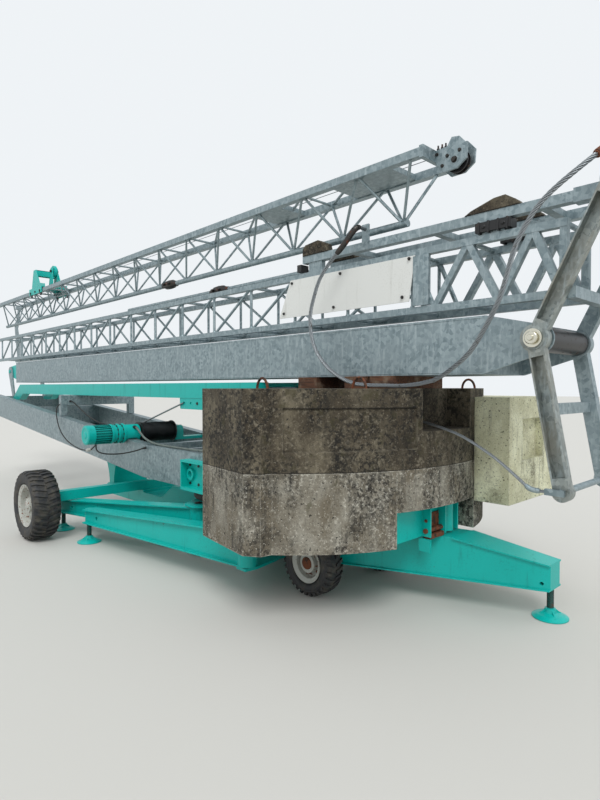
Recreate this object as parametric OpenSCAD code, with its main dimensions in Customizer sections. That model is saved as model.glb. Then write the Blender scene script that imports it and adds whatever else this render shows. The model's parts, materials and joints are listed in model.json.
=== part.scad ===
/* [Mast girder] */
// Depth of the box girder
girder_h = 340; // [300:5:380]
// Underside of the girder above the ground
girder_z = 1605; // [1600:5:1640]
// Outside width of the girder
girder_w = 560; // [520:5:600]
// Web plate thickness
web_t = 12; // [8:1:16]
// Flange plate thickness
flange_t = 10; // [8:1:14]
// Left end of the girder from the middle of the crane
girder_x0 = -3925; // [-3960:5:-3880]
// Head hub from the middle of the crane
hub_x = 4935; // [4900:5:4960]
// Head hub above the ground
hub_z = 1790; // [1775:5:1805]
// Radius of the boss ring on the hub
hub_r = 34; // [28:1:40]
// Mast foot pin from the middle of the crane
foot_x = -4325; // [-4345:5:-4305]
// Mast foot pin above the ground
foot_z = 1800; // [1790:5:1810]
// Radius of the mast foot pin
foot_pin_r = 30; // [24:1:36]

/* [Head spreader] */
// Depth of a spreader leg
leg_w = 84; // [70:1:95]
// Width of a spreader leg
leg_t = 60; // [50:1:70]
// Jib root pin from the middle of the crane
root_x = 5300; // [5290:5:5310]
// Jib root pin above the ground
root_z = 2541; // [2535:1:2550]
// Radius of the jib root pin
root_pin_r = 22; // [18:1:26]
// Foot of the spreader from the middle of the crane
heel_x = 5085; // [5060:5:5110]
// Foot of the spreader above the ground
heel_z = 985; // [960:5:1010]

/* [Jib lattice] */
// Outside width of the square lattice
jib_w = 370; // [350:2:380]
// Side of a chord
chord_s = 46; // [40:1:50]
// Top of the lower chords above the ground
jib_low_z = 2060; // [2050:5:2070]
// Top of the upper chords above the ground
jib_top_z = 2440; // [2430:5:2450]
// Length of a bay
bay = 573; // [565:1:578]
// Diameter of a brace
brace_d = 26; // [20:1:30]
// Right end of the lattice
jib_x1 = 5040; // [5030:5:5050]
// First upright at the right
jib_first = 4044; // [4030:2:4060]
// Number of bays
jib_bays = 16; // [14:1:16]

/* [Jib rails] */
// Side of a box rail
rail_s = 57; // [50:1:62]
// Side of the sleeve at the root
sleeve_s = 76; // [70:1:80]
// Left end of the rails
rail_x0 = 3015; // [2980:5:3060]
// Start of the sleeve
sleeve_x = 5075; // [5050:5:5100]
// Right end of the crane
end_x = 5575; // [5560:5:5590]

/* [Tip section] */
// Outside width over the rails
tip_w = 410; // [390:2:420]
// Top of the rails above the ground
tip_top_z = 3090; // [3070:5:3110]
// Side of a tip rail
tip_rail = 56; // [50:1:60]
// Middle of the tube chord above the ground
tip_chord_z = 2690; // [2670:5:2710]
// Diameter of the tube chord
tip_chord_d = 52; // [46:1:58]
// Right end of the tube chord
tip_chord_x = 3892; // [3880:4:3920]
// Right end of the rails
tip_x1 = 4118; // [4100:2:4130]
// Diameter of a tip brace
tip_brace = 22; // [18:1:26]
// Fold pin from the middle of the crane
fold_x = -5500; // [-5510:5:-5490]
// Radius of the fold pin
fold_pin_r = 18; // [14:1:22]

/* [Trolley] */
// Middle of the trolley along the jib
trolley_x = -3120; // [-3200:10:-3000]
// Length of the trolley frame
trolley_l = 560; // [500:10:600]
// Height of the trolley arch over the rails
trolley_h = 400; // [360:10:430]

/* [Platform] */
// Half width over the knee beams
plat_y = 550; // [530:5:570]
// Depth of a knee beam
beam_h = 330; // [310:5:350]
// Underside of the level stretch
plat_z = 610; // [605:5:625]
// Place of the knee
knee_x = 1045; // [1000:5:1090]
// Left end of the knee beams
plat_x0 = -4225; // [-4240:5:-4200]
// Right end of the knee beams
plat_x1 = 3900; // [3860:5:3940]
// Rise of the sloping stretch in degrees
knee_rise = 5; // [4.6:0.1:5.4]
// Width of a knee beam flange
beam_w = 110; // [90:5:130]
// Plate thickness of the beams
beam_t = 14; // [10:1:18]

/* [Slewing ring] */
// Slewing axis from the middle of the crane
slew_x = 1975; // [1950:5:2000]
// Outside diameter of the ring
ring_d = 900; // [860:10:940]
// Height of each half of the ring
ring_h = 52; // [48:1:55]

/* [Winch] */
// Winch axis from the middle of the crane
winch_x = 635; // [615:5:655]
// Winch axis above the ground
winch_z = 1035; // [1030:5:1045]
// Diameter of the motor
motor_d = 200; // [180:5:210]
// Diameter of the drum
drum_d = 200; // [170:5:200]
// Diameter of the drum flanges
drum_flange_d = 230; // [220:5:235]
// Length of the drum between its flanges
drum_l = 420; // [380:5:440]
// Radius of the drum shaft
drum_shaft_r = 25; // [20:1:30]

/* [Chassis] */
// Left end of the chassis beam
chassis_x0 = -460; // [-480:5:-450]
// Underside of the chassis
chassis_z = 300; // [290:5:310]
// Height of the chassis beam
chassis_h = 188; // [180:1:190]
// Half width of the chassis beam
chassis_y = 240; // [220:5:250]
// Underside of the beam's lower tail
tail_z = 200; // [195:5:220]
// Top of the tail
tail_top = 330; // [320:5:340]
// Right end of the tail
tail_x1 = 860; // [820:10:900]

/* [Wheels] */
// Diameter of a rear tyre
tyre_d = 690; // [680:5:700]
// Width of a rear tyre
tyre_w = 260; // [240:5:270]
// Diameter of a rear rim
rim_d = 400; // [380:5:420]
// Rear axle from the middle of the crane
rear_x = 355; // [340:5:370]
// Middle of a rear wheel from the centreline
rear_y = 1360; // [1350:5:1380]
// Diameter of a front tyre
front_d = 480; // [460:5:485]
// Width of a front tyre
front_w = 180; // [160:5:190]
// Diameter of a front rim
front_rim_d = 260; // [240:5:280]
// Front axle from the middle of the crane
front_x = 3340; // [3330:5:3360]
// Middle of a front wheel from the centreline
front_y = 400; // [390:5:410]
// Radius of a stub axle
stub_r = 30; // [26:1:34]

/* [Outriggers] */
// Height of an arm at its root
arm_h = 264; // [250:2:266]
// Height of an arm at its tip
arm_tip_h = 135; // [120:5:150]
// Width of an arm's flanges
arm_w = 150; // [130:5:160]
// Underside of the arms above the ground
arm_z = 195; // [190:5:205]
// Diameter of a jack pad
pad_d = 230; // [210:5:235]
// Radius of a jack screw
screw_r = 20; // [16:1:24]
// Radius of the arm pins
arm_pin_r = 28; // [24:1:32]

/* [Ballast] */
// Underside of the keel
keel_z = 500; // [500:5:520]
// Underside of the raised part
raised_z = 730; // [710:5:750]
// Joint of the two courses
course_z = 1000; // [980:5:1020]
// Top of the ballast
ballast_z = 1520; // [1510:5:1530]
// Radius of the curved end
curve_r = 1555; // [1530:5:1570]
// Middle of the curved end along the crane
curve_x = 2655; // [2640:5:2670]
// Middle of the curved end across the crane
curve_y = 120; // [100:5:140]
// Ends of the keel from the centreline
keel_y = 420; // [415:5:440]
// Floor of the notch in the upper course
notch_z = 1240; // [1200:10:1280]

/* [Sign board] */
// Height of the board
board_h = 300; // [260:5:310]
// Thickness of the board
board_t = 6; // [4:1:8]

/* [Hidden] */
chassis_x1 = front_x + 140;
// Past the outside of the crane, for cuts that run right through
beyond = 5000;
turquoise = [0.0, 0.70, 0.67];
galv = [0.55, 0.59, 0.61];
concrete = [0.51, 0.49, 0.45];
moss = [0.28, 0.26, 0.22];
pale = [0.75, 0.75, 0.6];
black = [0.08, 0.08, 0.09];
// Small gap between faces that meet on pieces that move
gap = 0.3;
// Radial clearance of a pin that turns
run_fit = 0.05;
// Running gap beside a moving piece
side_gap = 6;
big = 20;

// Square bar between two points
module box_bar(p, q, s) {
    v = q - p;
    l = norm(v);
    translate(p) rotate([0, acos(v[2] / l), atan2(v[1], v[0])])
        translate([-s / 2, -s / 2, 0]) cube([s, s, l]);
}
// Six-sided bar between two points
module bar(p, q, d, n = 6) {
    v = q - p;
    l = norm(v);
    translate(p) rotate([0, acos(v[2] / l), atan2(v[1], v[0])]) cylinder(d = d, h = l, $fn = n);
}
// Round bar along Y from y0 to y1
module shaft(x, z, r, y0, y1) {
    translate([x, y0, z]) rotate([-90, 0, 0]) cylinder(r = r, h = y1 - y0, $fn = 48);
}
// Flat plate in the XZ plane, from y0 for t
module plate(points, y0, t) {
    translate([0, y0 + t, 0]) rotate([90, 0, 0]) linear_extrude(t) polygon(points);
}
// Brick from low corner to high corner
module brick(a, b) {
    translate(a) cube(b - a);
}
// Mirror copy across the centreline
module both_sides() {
    children();
    mirror([0, 1, 0]) children();
}
// Points of an arc in the XZ plane
function arc(x, z, r, a0, a1, n) = [for (i = [0:n]) let (a = a0 + (a1 - a0) * i / n) [x + r * cos(a),
    z + r * sin(a)]];

girder_top = girder_z + girder_h;
girder_y = girder_w / 2;
chord_y = (jib_w - chord_s) / 2;
jib_low = jib_low_z - chord_s / 2;
jib_top = jib_top_z - chord_s / 2;
rail_y = chord_y;
rail_mid = root_z;
rail_up = rail_mid + rail_s / 2;
rope_eye_x = 5240;
tip_rail_y = (tip_w - tip_rail) / 2;
tip_rail_z = tip_top_z - tip_rail / 2;
fold_z = (tip_top_z + jib_top_z) / 2 - 30;
leg_in = girder_y + 6;
leg_y = leg_in + leg_t / 2;

// Profile of a girder web with its tapered head
function web_points() = concat([[girder_x0, girder_z], [hub_x - 320, girder_z]],
    arc(hub_x, hub_z, 82, -72, 58, 8), [[hub_x - 305, girder_top], [girder_x0, girder_top]]);
module mast_girder() {
    color(galv) {
        difference() {
            union() {
                both_sides() plate(web_points(), girder_y - web_t, web_t);
                both_sides() shaft(hub_x, hub_z, hub_r + 26, girder_y - 1, girder_y + 6);
            }
            shaft(hub_x, hub_z, hub_r, -girder_w, girder_w);
        }
        brick([girder_x0, -girder_y + web_t - 1, girder_z],
            [hub_x - 330, girder_y - web_t + 1, girder_z + flange_t]);
        brick([girder_x0, -girder_y + web_t - 1, girder_top - flange_t],
            [hub_x - 310, girder_y - web_t + 1, girder_top]);
        for (x = [girder_x0, girder_x0 + 2900, girder_x0 + 5800, hub_x - 342])
            brick([x, -girder_y + web_t - 1, girder_z + flange_t - 1],
                [x + flange_t, girder_y - web_t + 1, girder_top - flange_t + 1]);
    }
}

foot_y = girder_y - 45;
foot_plate_t = 24;
module mast_foot() {
    color(turquoise) {
        difference() {
            both_sides() plate(concat([[girder_x0 - gap, girder_z + 30]],
                [[girder_x0 - gap, girder_top - 20]], arc(foot_x, foot_z, 95, 80, 280, 8)),
                    foot_y - foot_plate_t, foot_plate_t);
            shaft(foot_x, foot_z, foot_pin_r, -girder_w, girder_w);
        }
        brick([girder_x0 - 20 - gap, -foot_y + foot_plate_t - 1, girder_z + 40],
            [girder_x0 - gap, foot_y - foot_plate_t + 1, girder_top - 30]);
    }
    color(black) shaft(foot_x, foot_z, foot_pin_r, -lug_y - lug_t - 14, lug_y + lug_t + 14);
}
lug_y = foot_y + side_gap;
lug_t = 22;

module head_roller() {
    color(black) {
        shaft(hub_x, hub_z, hub_r - run_fit, -leg_in - leg_t - 12, leg_in + leg_t + 12);
        shaft(hub_x, hub_z, 70, -girder_y + web_t + side_gap, girder_y - web_t - side_gap);
    }
}

// Outline of a leg from p to q in the XZ plane, shortened by a and b
module leg_outline(p, q, w, a, b) {
    v = q - p;
    translate(p) rotate(atan2(v[1], v[0])) translate([a, -w / 2]) square([norm(v) - a - b, w]);
}
hub_p = [hub_x, hub_z];
root_p = [root_x, root_z];
heel_p = [heel_x, heel_z];
hub_disc = 74;
// Extrusion of an outline in the XZ plane, from y0 for t
module sheet_y(y0, t) {
    translate([0, y0 + t, 0]) rotate([90, 0, 0]) linear_extrude(t) children();
}
module spreader_side() {
    outer = -leg_in - leg_t;
    difference() {
        sheet_y(outer, leg_t) difference() {
            union() {
                leg_outline(hub_p, root_p, leg_w, 0, 0);
                leg_outline(hub_p, heel_p, leg_w, 0, 0);
                translate(hub_p) circle(hub_disc, $fn = 64);
                translate(root_p) circle(52, $fn = 64);
                translate(heel_p) circle(50, $fn = 64);
            }
            translate(hub_p) circle(hub_r, $fn = 48);
            translate(root_p) circle(root_pin_r, $fn = 48);
            translate(heel_p) circle(heel_pin_r, $fn = 48);
        }
        // the legs are channels, open outwards
        sheet_y(outer - 1, leg_t - 8) {
            leg_outline(hub_p, root_p, leg_w - 18, 100, 75);
            leg_outline(hub_p, heel_p, leg_w - 18, 100, 75);
        }
    }
    sheet_y(outer - 6, 6.5) difference() {
        translate(hub_p) circle(hub_disc - 12, $fn = 64);
        translate(hub_p) circle(hub_r, $fn = 48);
    }
}
heel_pin_r = 18;
module spreader_near() {
    color(galv) spreader_side();
}
module spreader_far() {
    color(galv) mirror([0, 1, 0]) spreader_side();
}
// Point on the line from a to b at height z
function leg_at(ax, az, bx, bz, z) = ax + (bx - ax) * (z - az) / (bz - az);
module spreader_cross() {
    color(galv) {
        for (c = [[leg_at(hub_x, hub_z, root_x, root_z, 2020), 2020, 48],
            [leg_at(hub_x, hub_z, heel_x, heel_z, 1410), 1410, -22]])
            brick([c[0] + c[2] - 24, -leg_in, c[1] - 30], [c[0] + c[2] + 30, leg_in, c[1] + 30]);
        shaft(heel_x, heel_z, heel_pin_r - run_fit, -leg_y - leg_t / 2 - 14, leg_y + leg_t / 2 + 12);
        // socket tab of the pendant rope
        brick([5010 + gap, -leg_y - leg_t / 2 - 30, heel_z - 16],
            [heel_x + 24, -leg_y - leg_t / 2 - 8, heel_z + 16]);
    }
}

// Upright and diagonal braces of one side of the lattice, lean is 1 or -1
module jib_braces(y, lean) {
    for (k = [0 : jib_bays]) {
        x = jib_first - k * bay;
        bar([x, y, jib_low], [x, y, jib_top], brace_d);
        if (k < jib_bays)
            bar([x - bay, y, lean > 0 ? jib_low : jib_top], [x, y, lean > 0 ? jib_top : jib_low], brace_d);
    }
    zig = [[jib_first, jib_top], [4215, jib_low], [4455, jib_top], [4655, jib_low], [4855, jib_top],
        [5010, jib_low]];
    bar([zig[0][0], y, zig[0][1]], [zig[1][0], y, zig[1][1]], brace_d + 8);
    for (i = [1 : len(zig) - 2])
        box_bar([zig[i][0], y, zig[i][1]], [zig[i + 1][0], y, zig[i + 1][1]], chord_s - 4 - 3 * (i % 2));
    box_bar([jib_x1 - 20, y, jib_low], [jib_x1 - 20, y, jib_top], chord_s - 6);
}
jib_left = fold_x + 100;
module jib_side(y, lean) {
    for (z = [jib_low, jib_top])
        brick([jib_left, y - chord_s / 2, z - chord_s / 2], [jib_x1, y + chord_s / 2, z + chord_s / 2]);
    jib_braces(y, lean);
}
// Plate at the fold, with its bore
fold_t = 14;
fold_boss = end_x + fold_x;
module fold_lug(side) {
    y0 = side < 0 ? -jib_w / 2 - fold_t : jib_w / 2;
    difference() {
        plate(concat([[jib_left + 90, jib_low_z - chord_s]], [[jib_left + 90, jib_top_z]],
            arc(fold_x, fold_z, fold_boss, 20, 180, 10),
                [[fold_x - 10, jib_top_z - 30], [jib_left, jib_low_z - chord_s]]),
            y0, fold_t);
        shaft(fold_x, fold_z, fold_pin_r, -tip_w, tip_w);
    }
}
module fold_hinge() {
    color(galv) for (side = [-1, 1]) fold_lug(side);
}
module jib_side_near() {
    color(galv) jib_side(-chord_y, 1);
}
module jib_side_far() {
    color(galv) jib_side(chord_y, -1);
}
inner_y = chord_y - chord_s / 2;
module jib_bracing() {
    color(galv) intersection() {
        brick([fold_x, -inner_y, 0], [end_x, inner_y, 4000]);
        union() {
            for (k = [0 : jib_bays]) {
                x = jib_first - k * bay;
                for (z = [jib_low, jib_top]) bar([x, -jib_w, z], [x, jib_w, z], brace_d);
                if (k < jib_bays) bar([x, -chord_y, jib_low], [x - bay, chord_y, jib_low], brace_d);
            }
            for (x = [4455, jib_x1 - 20])
                for (z = [jib_low, jib_top]) bar([x, -jib_w, z], [x, jib_w, z], brace_d + 8);
        }
    }
}
module jib_rails() {
    color(galv) {
        difference() {
            both_sides() {
                brick([rail_x0, rail_y - rail_s / 2, rail_mid - rail_s / 2],
                    [sleeve_x, rail_y + rail_s / 2, rail_mid + rail_s / 2]);
                brick([sleeve_x, rail_y - sleeve_s / 2, rail_mid - sleeve_s / 2],
                    [end_x, rail_y + sleeve_s / 2, rail_mid + sleeve_s / 2]);
            }
            both_sides() brick([rail_x0 - 1, rail_y - rail_s / 2 + 5, rail_mid - rail_s / 2 + 5],
                [rail_x0 + 400, rail_y + rail_s / 2 - 5, rail_mid + rail_s / 2 - 5]);
            both_sides() brick([end_x - 200, rail_y - sleeve_s / 2 + 6, rail_mid - sleeve_s / 2 + 6],
                [end_x + 1, rail_y + sleeve_s / 2 - 6, rail_mid + sleeve_s / 2 - 6]);
        }
        for (x = [3500, 4200, 4900])
            brick([x - 25, -rail_y, rail_mid - 20], [x + 25, rail_y, rail_mid + 20]);
        both_sides() for (x = [3150, 4620])
            brick([x - 70, rail_y - 20, jib_top_z], [x + 70, rail_y + 20, rail_mid - rail_s / 2 + 1]);
        // eyes that the loose rope hangs from
        brick([rope_eye_x - 30, -rail_y - sleeve_s / 2, rail_mid],
            [rope_eye_x + 30, -rail_y - sleeve_s / 2 + 14, 2760]);
        brick([3610, -rail_y - 8, rail_mid], [3670, -rail_y + 8, 2700]);
        both_sides() shaft(root_x, root_z, root_pin_r - run_fit, rail_y + sleeve_s / 2 - 1,
            leg_y + leg_t / 2 + 14);
    }
}
module rail_blocks() {
    color(moss) {
        both_sides() {
            plate([[3020, rail_up], [3290, rail_up], [3272, rail_up + 62], [3190, rail_up + 100],
                [3050, rail_up + 84], [3022, rail_up + 60]], rail_y - 34, 68);
            plate([[4440, rail_up], [4790, rail_up], [4765, rail_up + 30], [4700, rail_up + 72],
                [4630, rail_up + 68], [4480, rail_up + 22]], rail_y - 34, 68);
        }
    }
}
stay_z = jib_top_z + 60;
module stay_bar() {
    color(galv) {
        translate([-340, 0, stay_z]) rotate([0, 90, 0]) cylinder(d = 42, h = 3220, $fn = 24);
        for (k = [3, 6, 7]) {
            x = jib_first - k * bay;
            brick([x - 20, -16, jib_top + brace_d / 2], [x + 20, 16, stay_z]);
        }
        translate([1580, 0, stay_z]) rotate([0, 90, 0]) cylinder(d = 62, h = 130, $fn = 24);
    }
}
board_y = -jib_w / 2;
module sign_board() {
    color("white") plate([[2736, 2100], [4033, 2100], [4082, 2100 + board_h], [2873, 2100 + board_h]],
        board_y - board_t, board_t);
}

// Tip section, folded over with its rails on top
tip_bay = 571;
tip_first = 3567;
tip_bays = 15;
tip_last = 4036;
tip_x0 = fold_x + 120;
module tip_side(side) {
    y = side * tip_rail_y;
    difference() {
        union() {
            for (k = [0 : tip_bays - 1]) {
                x = tip_first - k * tip_bay;
                bar([x, y, tip_rail_z], [x - tip_bay / 2, 0, tip_chord_z], tip_brace);
                bar([x - tip_bay, y, tip_rail_z], [x - tip_bay / 2, 0, tip_chord_z], tip_brace);
            }
            // closing braces at both ends
            for (x = [tip_first, tip_last])
                bar([x, y, tip_rail_z], [tip_first + tip_bay / 2, 0, tip_chord_z], tip_brace);
            x_end = tip_first - tip_bays * tip_bay;
            bar([x_end, y, tip_rail_z], [x_end - tip_bay / 2, 0, tip_chord_z], tip_brace);
        }
        translate([tip_x0 - 10, 0, tip_chord_z]) rotate([0, 90, 0]) cylinder(d = tip_chord_d + 0.4,
            h = 12000, $fn = 24);
        brick([tip_x0, side > 0 ? -tip_w : -0.1, 0], [end_x, side > 0 ? 0.1 : tip_w, 5000]);
    }
    brick([tip_x0, y - tip_rail / 2, tip_rail_z - tip_rail / 2],
        [tip_x1, y + tip_rail / 2, tip_rail_z + tip_rail / 2]);
}
tip_lug_y = jib_w / 2 + fold_t + side_gap;
module tip_lug(side) {
    y0 = side > 0 ? tip_lug_y : -tip_lug_y - fold_t;
    plate(concat(arc(fold_x, fold_z, 60, 150, 340, 10),
        [[tip_x0 + 60, tip_rail_z - tip_rail / 2], [tip_x0 + 60, tip_top_z], [tip_x0 - 40, tip_top_z]]),
        y0, fold_t);
    shaft(fold_x, fold_z, fold_pin_r - run_fit, side > 0 ? jib_w / 2 - 6 : -tip_lug_y - fold_t,
        side > 0 ? tip_lug_y + fold_t : -jib_w / 2 + 6);
}
module fold_plates() {
    color(galv) for (side = [-1, 1]) tip_lug(side);
}
module tip_side_near() {
    color(galv) tip_side(-1);
}
module tip_side_far() {
    color(galv) tip_side(1);
}
module tip_chord() {
    color(galv) translate([tip_x0, 0, tip_chord_z]) rotate([0, 90, 0]) cylinder(d = tip_chord_d,
        h = tip_chord_x - tip_x0, $fn = 24);
}
tip_in = tip_rail_y - tip_rail / 2;
module tip_plan() {
    color(galv) {
        intersection() {
            brick([tip_x0, -tip_in, 0], [end_x, tip_in, 4000]);
            union() {
                for (k = [0 : tip_bays]) {
                    x = tip_first - k * tip_bay;
                    bar([x, -tip_w, tip_rail_z], [x, tip_w, tip_rail_z], tip_brace);
                    if (k < tip_bays) bar([x, -tip_rail_y, tip_rail_z],
                        [x - tip_bay, tip_rail_y, tip_rail_z], tip_brace);
                }
            }
        }
        for (p = [[2330, 2700], [3300, 3850]])
            brick([p[0], -tip_in, tip_rail_z - 20], [p[1], tip_in, tip_rail_z + 20]);
    }
}
tip_cheek = 45;
pulley_x = tip_x1 + 170;
pulley_z = tip_rail_z - 60;
pulley_r = 75;
pulley_pin_r = 16;
module tip_head() {
    color(galv) {
        brick([tip_x1, -tip_w / 2, tip_rail_z - 40], [tip_x1 + 30, tip_w / 2, tip_rail_z + 40]);
        difference() {
            translate([tip_x1, 0, tip_rail_z]) both_sides() plate([[29, -40], [29, 36], [118, 40],
                [150, 90], [205, 80], [262, 14], [256, -72], [188, -120], [84, -120], [45, -79]],
                tip_cheek, 14);
            shaft(pulley_x, pulley_z, pulley_pin_r, -tip_w, tip_w);
        }
        // spacers between the cheeks
        for (c = [[pulley_x, tip_rail_z + 65], [tip_x1 + 60, pulley_z]])
            shaft(c[0], c[1], 12, -tip_cheek - 1, tip_cheek + 1);
    }
}
module tip_pulley() {
    color(black) {
        shaft(pulley_x, pulley_z, pulley_pin_r - run_fit, -tip_cheek - 24, tip_cheek + 24);
        for (y = [-22, 14]) shaft(pulley_x, pulley_z, pulley_r, y, y + 8);
        shaft(pulley_x, pulley_z, pulley_r - 14, -22, 22);
    }
}

// Trolley
trolley_z = tip_top_z + gap;
module trolley_frame() {
    color(turquoise) {
        both_sides() {
            plate([[trolley_x - trolley_l / 2, trolley_z], [trolley_x + trolley_l / 2, trolley_z],
                [trolley_x + trolley_l / 2, trolley_z + 70],
                [trolley_x + 60, trolley_z + 110], [trolley_x - 90, trolley_z + trolley_h - 60],
                    [trolley_x - 200, trolley_z + trolley_h - 60],
                [trolley_x - trolley_l / 2, trolley_z + 90]], tip_rail_y - 12, 12);
            brick([trolley_x - trolley_l / 2, tip_w / 2 + side_gap, trolley_z - 70],
                [trolley_x + trolley_l / 2, tip_w / 2 + side_gap + 10, trolley_z + 30]);
            brick([trolley_x - trolley_l / 2, tip_rail_y - 12, trolley_z + 16],
                [trolley_x + trolley_l / 2, tip_w / 2 + side_gap + 1, trolley_z + 30]);
        }
        brick([trolley_x - 230, -tip_rail_y + 6, trolley_z + 20],
            [trolley_x + 230, tip_rail_y - 6, trolley_z + 36]);
        difference() {
            both_sides() plate(concat([[trolley_x + 90, trolley_z + 35]],
                [[trolley_x + 260, trolley_z + 35]],
                arc(trolley_x + 210, trolley_z + 290, 60, 0, 180, 8)), 30, 12);
            shaft(trolley_x + 210, trolley_z + 290, 14, -tip_w, tip_w);
        }
        // pulley on its pin
        shaft(trolley_x + 210, trolley_z + 290, 14 - run_fit, -48, 48);
        shaft(trolley_x + 210, trolley_z + 290, 88, -20, 20);
    }
}

// Platform
rise = tan(knee_rise);
function beam_low(x) = x < knee_x ? plat_z + (knee_x - x) * rise : plat_z;
function beam_pts(in) = [[plat_x0 - big * in, beam_low(plat_x0) + in * beam_t],
    [knee_x, plat_z + in * beam_t],
    [plat_x1 + big * in, plat_z + in * beam_t], [plat_x1 + big * in, plat_z + beam_h - in * beam_t],
    [knee_x, plat_z + beam_h - in * beam_t], [plat_x0 - big * in,
        beam_low(plat_x0) + beam_h - in * beam_t]];
module knee_beam() {
    difference() {
        plate(beam_pts(0), -plat_y, beam_w);
        plate(beam_pts(1), -plat_y + beam_t, beam_w);
    }
}
module knee_beam_near() {
    color(galv) difference() {
        knee_beam();
        // saddle that the winch's gear lies in
        shaft(winch_x, winch_z, gear_r + gap, -plat_y - 1, -plat_y + beam_w + 1);
    }
}
module knee_beam_far() {
    color(galv) mirror([0, 1, 0]) knee_beam();
}
web_in = plat_y - beam_t;
strut_y = 250;
strut_w = 110;
strut_z = 1420;
strut_h = 150;
module platform_cross() {
    color(galv) {
        for (x = [-4215, -2600, -300, 900, 3000, 3780])
            brick([x, -web_in, beam_low(x) + beam_t + 12],
                [x + 110, web_in, beam_low(x) + beam_h - beam_t - 12]);
        for (x = [slew_x - ring_d / 2, slew_x + ring_d / 2 - 60])
            brick([x, -web_in, plat_z + beam_t], [x + 60, web_in, plat_z + beam_h - beam_t]);
        brick([2430, -web_in, plat_z + beam_t], [2500, web_in, plat_z + beam_h - beam_t]);
    }
}
lug_x0 = plat_x0 + 10;
lug_low = beam_low(plat_x0) + beam_h - beam_t - 12;
// Lugs for the mast foot pin, standing on the end cross beam
module mast_lugs() {
    color(galv) difference() {
        both_sides() plate(concat([[lug_x0, lug_low], [lug_x0 + 110, lug_low]],
            arc(foot_x, foot_z, 85, 20, 200, 8)), lug_y, lug_t);
        shaft(foot_x, foot_z, foot_pin_r + run_fit, -plat_y, plat_y);
    }
}
portal_x = -1330;
portal_t = 80;
prop_x = 2440;
// Portal and props under the struts, and the ties between them
module strut_frames() {
    color(turquoise) {
        both_sides() brick([portal_x, plat_y - beam_w, beam_low(portal_x) + beam_h],
            [portal_x + portal_t, plat_y - beam_w + portal_t, strut_z]);
        brick([portal_x, -plat_y + beam_w - 1, strut_z - 130],
            [portal_x + portal_t, plat_y - beam_w + 1, strut_z]);
        both_sides() brick([prop_x, strut_y - 40, plat_z + beam_h - beam_t],
            [prop_x + 60, strut_y + 40, strut_z]);
        for (x = [-3560, 2500])
            brick([x, -strut_in, strut_z + 30], [x + 60, strut_in, strut_z + 110]);
    }
}
strut_in = strut_y - strut_w / 2;
bend_x = -3500;
module strut() {
    plate([[bend_x, strut_z], [2600, strut_z], [2600, strut_z + strut_h], [bend_x - 150, strut_z + strut_h],
        [bend_x - 300, strut_z + 60],
        [-4050, beam_low(-4050) + beam_h - 60], [-3900, beam_low(-3900) + beam_h - 60],
            [bend_x - 200, strut_z - 100]], -strut_in - strut_w, strut_w);
    // hanging plate with its holes
    difference() {
        plate([[1340, strut_z + 1], [2120, strut_z + 1], [2100, strut_z - 110], [1350, strut_z - 110]],
            -strut_y - 50, 20);
        for (x = [1420, 1540]) shaft(x, strut_z - 50, 14, -strut_y - 60, -strut_y);
    }
}
module strut_near() {
    color(turquoise) strut();
}
module strut_far() {
    color(turquoise) mirror([0, 1, 0]) strut();
}
bracket_x = [1900, 2260];
bracket_deep = 90;
bracket_bore = 30;
// Brackets beside the slewing ring, each a tray with a boss in it
module ring_bracket() {
    low = plat_z + 2;
    hole_z = low + 138;
    color(turquoise) both_sides() difference() {
        union() {
            difference() {
                brick([bracket_x[0], -plat_y - bracket_deep, low], [bracket_x[1], -plat_y, low + 268]);
                brick([bracket_x[0] + 14, -plat_y - bracket_deep - 1, low + 28],
                    [bracket_x[1] - 14, -plat_y - 12, low + 248]);
            }
            shaft(slew_x, hole_z, bracket_bore + 22, -plat_y - 40, -plat_y - 1);
        }
        shaft(slew_x, hole_z, bracket_bore, -plat_y - bracket_deep - 1, -plat_y + beam_w);
    }
}
module slewing_ring() {
    color(galv) {
        translate([slew_x, 0, chassis_z + chassis_h]) difference() {
            cylinder(d = ring_d, h = ring_h, $fn = 96);
            translate([0, 0, -1]) cylinder(d = ring_d - 160, h = ring_h + 2, $fn = 96);
        }
    }
}
module slewing_ring_top() {
    color(galv) {
        translate([slew_x, 0, chassis_z + chassis_h + ring_h + gap]) difference() {
            cylinder(d = ring_d - 20, h = plat_z - chassis_z - chassis_h - ring_h - gap, $fn = 96);
            translate([0, 0, -1]) cylinder(d = ring_d - 180, h = ring_h + 2, $fn = 96);
        }
        // ring plate between the platform beams
        brick([slew_x - ring_d / 2, -plat_y + beam_w, plat_z - 1],
            [slew_x + ring_d / 2, plat_y - beam_w, plat_z + beam_t]);
    }
}
drum_y0 = -395;
gear_r = motor_d / 2 - 8;
bearing_y = drum_y0 + drum_l + side_gap;
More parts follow.
